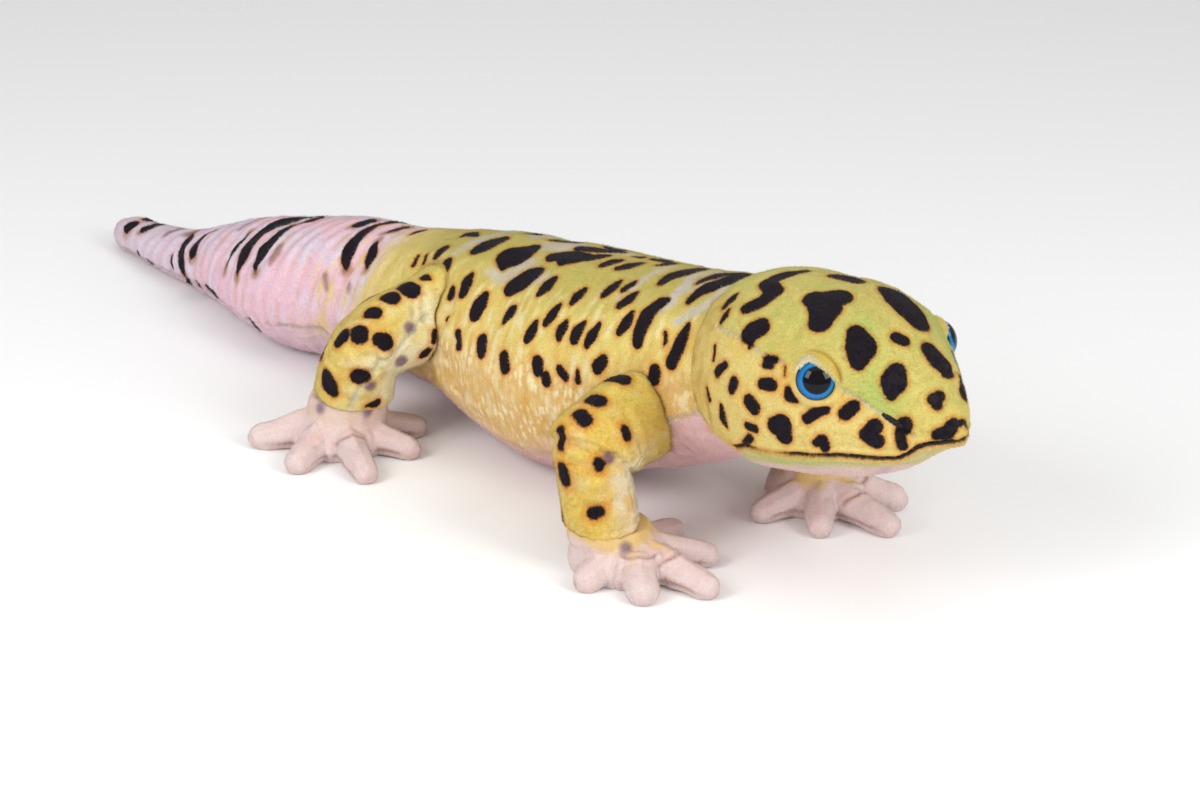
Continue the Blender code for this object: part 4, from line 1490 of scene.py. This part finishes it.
def growCoat(name, skin, kind, comb, seed, where=None, paler=0.0, shade=None, shorter=None):
    count, length = coats[kind]
    rng = np.random.default_rng(seed)
    mesh, p = skin.piece.data, skin.points
    verts, loops = trianglesOf(mesh)
    area = np.linalg.norm(np.cross(p[verts[:, 1]] - p[verts[:, 0]], p[verts[:, 2]] - p[verts[:, 0]]), axis=1)
    if where is not None:
        area = area * where[verts].mean(1)
    area = area * ease(0.3, 1.2, p[verts, 2].mean(1))  # none under what rests on the floor
    picked = rng.choice(len(verts), count, p=area / area.sum())
    u, v = np.sqrt(rng.random(count)), rng.random(count)
    mix = np.stack([1 - u, u * (1 - v), u * v], 1)

    def carried(values, index):
        return (values[index[picked]] * mix[:, :, None]).sum(1)

    roots, normals = carried(p, verts), carried(skin.normals, verts)
    normals /= np.linalg.norm(normals, axis=1)[:, None]
    flow = comb(roots) + rng.normal(0, 0.22, (count, 3))
    flow -= normals * (flow * normals).sum(1)[:, None]
    flow /= np.linalg.norm(flow, axis=1)[:, None]
    lean = np.radians(rng.normal(pile["lean"], 9, count))[:, None]
    way = normals * np.cos(lean) + flow * np.sin(lean)
    if shorter is not None:
        length = length - shorter(roots)
    reach = length * rng.uniform(0.7, 1.25, count)
    one = np.cross(way, normals)
    one /= np.linalg.norm(one, axis=1)[:, None]
    two = np.cross(way, one)
    points = np.empty((count, 4, 3))
    for k in range(3):
        a = 2 * math.pi * k / 3
        points[:, k] = roots - normals * pile["deep"] + (one * math.cos(a) + two * math.sin(a)) * pile["thick"]
    points[:, 3] = roots + way * reach[:, None]
    points[:, 3, 2] = np.maximum(points[:, 3, 2], 0.05)
    index = (np.arange(count)[:, None, None] * 4 + tuftFaces).reshape(-1).astype(np.int32)
    made = tuftMesh(name, points.reshape(-1, 3), index)
    coat = linked(name, made)
    uvs = np.empty(len(mesh.loops) * 2, np.float32)
    mesh.uv_layers["unwrap"].data.foreach_get("uv", uvs)
    patch = (carried(uvs.reshape(-1, 2), loops)[:, None] + tuftPatch[None]).reshape(-1, 2)[index]
    made.uv_layers.new(name="OFBake").data.foreach_set("uv", patch.astype(np.float32).ravel())
    ground = np.repeat(carried(stored(mesh, "ground", 4), verts), 4, axis=0)
    storeColour(coat, "ground", tinted(ground[:, :3], shade or pile["frayed"], np.full(len(ground), paler)))
    for key in ("spot", "scaly", "sleek"):
        storeFloat(coat, key, np.repeat(carried(stored(mesh, key, 1), verts)[:, 0], 4))
    storeFloat(coat, "tip", np.tile((0, 0, 0, 1), count))
    made.shade_smooth()
    made.normals_split_custom_set_from_vertices(np.repeat(normals, 4, axis=0).astype(np.float32))
    made.materials.append(mesh.materials[0])
    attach(coat, "root")


def fringe(name, skin, kind, edge, way, seed, paler=0.5, shade=None):
    where = bell(edge, pile["fringeWidth"]) + 1e-9
    growCoat(name, skin, kind, combed(*way), seed, where, paler, shade)


def combed(*way):  # all one way
    return lambda roots: np.tile(way, (len(roots), 1))


def unwrap(piece):
    piece.data.uv_layers.new(name="unwrap")
    selectOnly(piece)
    editAll(bpy.ops.uv.smart_project, angle_limit=math.radians(66), island_margin=0.004)


def nearEyes(roots):  # 1 on the lids, 0 away from them
    away = [np.linalg.norm(roots - eyeFrame(side)[0], axis=1) for side in sides.values()]
    return ease(15, 11, np.minimum(*away))


def growAll():
    for skin in (headSkin, bodySkin, *legSkins.values(), *footSkins.values()):
        unwrap(skin.piece)
    backward = combed(0, 1, -0.35)
    rims = np.minimum(*headMarks["rims"])
    bare = ease(0.7, 1.5, headMarks["lips"]) * ease(0.2, 0.9, rims)
    growCoat("headCoat", headSkin, "head", backward, 11, bare, shorter=lambda r: pile["lidShort"] * nearEyes(r))
    y = bodySkin.points[:, 1]
    for k, (low, high, part) in enumerate(((-60, 95, "trunk"), (95, 225, "trunk"), (225, 470, "tail"))):
        where = ((y >= low) & (y < high)).astype(float)
        growCoat(f"bodyCoat{k + 1}", bodySkin, part, backward, 12 + k, where)
    for k, ((end, sideName), skin) in enumerate(legSkins.items()):
        ankle, bend, root = legFrame(end, sideName)
        down = combed(*((ankle - root) * (sides[sideName], 1, 1) / 60))
        growCoat(f"{end}SleeveCoat_{sideName}", skin, "leg", down, 21 + k)
    for k, ((end, sideName), skin) in enumerate(footSkins.items()):
        x, y = footPlaces[end, sideName]
        middle = np.array((sides[sideName] * x, y, 12))
        growCoat(f"{end}FootCoat_{sideName}", skin, "foot", lambda r: r - middle, 31 + k)


def fringeAll():  # longer frayed tufts along the seams and hems
    edge = headMarks["seam"]
    for side, rim in zip(sides.values(), headMarks["rims"]):
        middle, front, upward, gaze = eyeFrame(side)
        local = headSkin.points - middle
        edge = np.minimum(edge, np.abs(rim - 0.7) + 30 * (local @ upward < 2.5 - 0.38 * (local @ front)))
    fringe("headFringe", headSkin, "headFringe", edge, (0, 0.3, -1), 41, paler=0.4)
    fringe("bodyFringe", bodySkin, "bodyFringe", bodyMarks["seam"], (0, 0.4, -1), 42, paler=0.4,
           shade=pile["bellyFrayed"])
    for k, ((end, sideName), skin) in enumerate(legSkins.items()):
        s, turn = legPlaces(skin.points, end, sideName)
        edge = np.minimum(legMarks[end, sideName]["seam"], np.abs(s - s.max() + 0.02) * 32)
        fringe(f"{end}Hem_{sideName}", skin, "hem", edge, (0, 0, -1), 43 + k)
    for k, ((end, sideName), skin) in enumerate(footSkins.items()):
        edge = footMarks[end, sideName]["seam"]
        fringe(f"{end}FootFringe_{sideName}", skin, "footFringe", edge, (0, 0, -1), 47 + k,
               shade=pile["pinkFrayed"])


growAll()
fringeAll()
print("pile grown")


# Moulded eyes
eyeFinish = {
    "pupilForward": 0.7,  # mm that the painted pupil sits towards the snout and up
    "pupilUp": 0.6,
    "black": (0.002, 0.002, 0.003),
    "inner": (0.004, 0.08, 0.26),
    "pale": (0.001, 0.21, 0.50),
    "azure": (0.001, 0.10, 0.36),
    "deep": (0.002, 0.03, 0.12),
    "socket": (0.003, 0.003, 0.004, 1),  # the dome's edge, in the lids' shade
}
irisStops = ((0.0, "black"), (0.54, "black"), (0.57, "inner"), (0.63, "pale"), (0.76, "azure"), (0.92, "deep"))


def eyePaint():
    f = Finish("paintedEye")
    pupil, rim = f.read("pupil"), f.read("rim")
    streak = f.grain(900, 2) - 0.5
    stops = [(place, eyeFinish[name]) for place, name in irisStops]
    iris = f.node("ShaderNodeValToRGB", {"stops": stops}, {"Fac": (pupil + streak * 0.25) / 10})
    colour = f.mix(f.ramp(rim, 7.35, 7.7), iris, eyeFinish["socket"])
    return f.finish(Base_Color=colour, Roughness=0.22, Coat_Weight=1.0, Coat_Roughness=0.02, Coat_IOR=1.33,
                    Specular_IOR_Level=0.0)


eyeMaterial = eyePaint()


def addEye(sideName):  # a flattened dome with a flat back
    middle, front, upward, gaze = eyeFrame(sides[sideName])
    deselect()
    bpy.ops.mesh.primitive_uv_sphere_add(segments=64, ring_count=eyeShape["rings"], radius=0.001)
    eye = bpy.context.object
    eye.name = "eye" + sideName.capitalize()
    cut = 0.001 * math.cos(math.pi * eyeShape["lastRing"] / eyeShape["rings"])
    editAll(bpy.ops.mesh.bisect, plane_co=(0, 0, cut), plane_no=(0, 0, 1), use_fill=True, clear_inner=True,
            threshold=0.000001)
    a, b, c = (coordinates(eye.data) * 1000 * (eyeShape["radius"], eyeShape["radius"], eyeShape["depth"])).T
    storeFloat(eye, "pupil", np.hypot(a - eyeFinish["pupilForward"], b - eyeFinish["pupilUp"]))
    storeFloat(eye, "rim", np.where(c < -0.2, 9, np.hypot(a, b)))
    setPoints(eye.data, middle + a[:, None] * front + b[:, None] * upward + c[:, None] * gaze)
    editAll(bpy.ops.mesh.normals_make_consistent, inside=False)
    bpy.ops.object.shade_smooth_by_angle(angle=math.radians(50))
    eye.data.materials.clear()
    eye.data.materials.append(eyeMaterial)
    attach(eye, "root")
    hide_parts("eye_" + sideName)


for sideName in sides:
    addEye(sideName)
print("eyes set")


# Threads: the mouth line and the satin stitches of the nostrils
thread = {
    "mouth": 0.55,  # radii in mm
    "nostril": 0.36,
    "swell": 0.3,  # how much of the mouth thread's radius comes and goes with its stitches
    "colour": (0.010, 0.008, 0.010, 1),
    # lighter along the raised bands of the thread's twist
    "twistStreak": (0.018, 0.015, 0.018, 1),
    "nostrilStitches": 19,
    "nostrilStart": (22.5, -103.2, 95.3),  # mm, with x counted outward
    "nostrilStop": (18, -109.6, 90.5),
}


def threadFinish():
    f = Finish("blackThread")
    twist = f.node("ShaderNodeTexWave", {"wave_type": "BANDS", "bands_direction": "DIAGONAL"},
                   {"Vector": f.place(), "Scale": 420.0, "Distortion": 2.0})
    colour = f.mix(f.ramp(twist, 0.3, 0.9), thread["colour"], thread["twistStreak"])
    return f.finish(Base_Color=colour, Roughness=f.ramp(f.grain(900), 0.3, 0.7, 0.4, 0.6),
                    Normal=f.bump(twist, 0.4, 0.0002), Specular_IOR_Level=0.25)


blackThread = threadFinish()


def sewnThread(name, strands, radius, swell=0.0, stitchLength=1.0):  # one tube along each strand of points in mm
    curve = bpy.data.curves.new(name, "CURVE")
    curve.dimensions = "3D"
    curve.bevel_depth = radius * 0.001
    curve.bevel_resolution = 2
    curve.use_fill_caps = True
    for strand in strands:
        places, lengths = densely(strand, 0.5)
        line = curve.splines.new("POLY")
        line.points.add(len(places) - 1)
        for point, place, run in zip(line.points, places, lengths):
            point.co = (*(place * 0.001 + (0, feetY, 0)), 1)
            point.radius = 1 - swell + swell * abs(math.sin(math.pi * run / stitchLength))
    selectOnly(linked(name, curve))
    bpy.ops.object.convert(target="MESH")
    piece = bpy.context.object
    bpy.ops.object.shade_smooth()
    piece.data.materials.append(blackThread)
    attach(piece, "root")


def addMouth(sideName, line):
    places, lengths = densely(line, 1.2)
    places = places + ripple(places, 2.2, 91)[:, None] * np.array((0, 0.1, 0.2))
    back = 0.25 * ease(-100, -120, places[:, 1])
    inward = np.stack([-places[:, 0] * 0.04, back, np.zeros(len(places))], 1)
    strand = [tuple(place) for place in places + inward * 0.6]
    sewnThread(f"mouthThread_{sideName}", [strand], thread["mouth"], thread["swell"], seams["mouth"][-1])


def addNostril(sideName):
    side = sides[sideName]
    start, stop = (np.array(thread[key]) * (side, 1, 1) for key in ("nostrilStart", "nostrilStop"))
    run = stop - start
    strands = []
    for k in range(thread["nostrilStitches"]):
        t = k / (thread["nostrilStitches"] - 1)
        half = 1.5 * math.sin(math.pi * (0.12 + 0.76 * t)) ** 0.6
        strand = []
        for across in (-1, -0.5, 0, 0.5, 1):
            lean = run / np.linalg.norm(run) * across * half * 0.5
            place = start + run * t + np.array((0, 0, 1)) * across * half + lean
            found = hit(headSkin, place + np.array((side, -0.9, 0.5)) * 20, (-side, 0.9, -0.5))
            if found is not None:
                out = np.array((side * 0.7, -0.6, 0.4)) * (0.75 * (1 - across * across) - 0.15)
                strand.append(tuple(np.array(found) + out))
        if len(strand) == 5:
            strands.append(strand)
    sewnThread(f"nostrilStitch_{sideName}", strands, thread["nostril"])


for sideName, line in zip(sides, headMarks["mouths"]):
    addMouth(sideName, line)
    addNostril(sideName)
print("threads sewn")
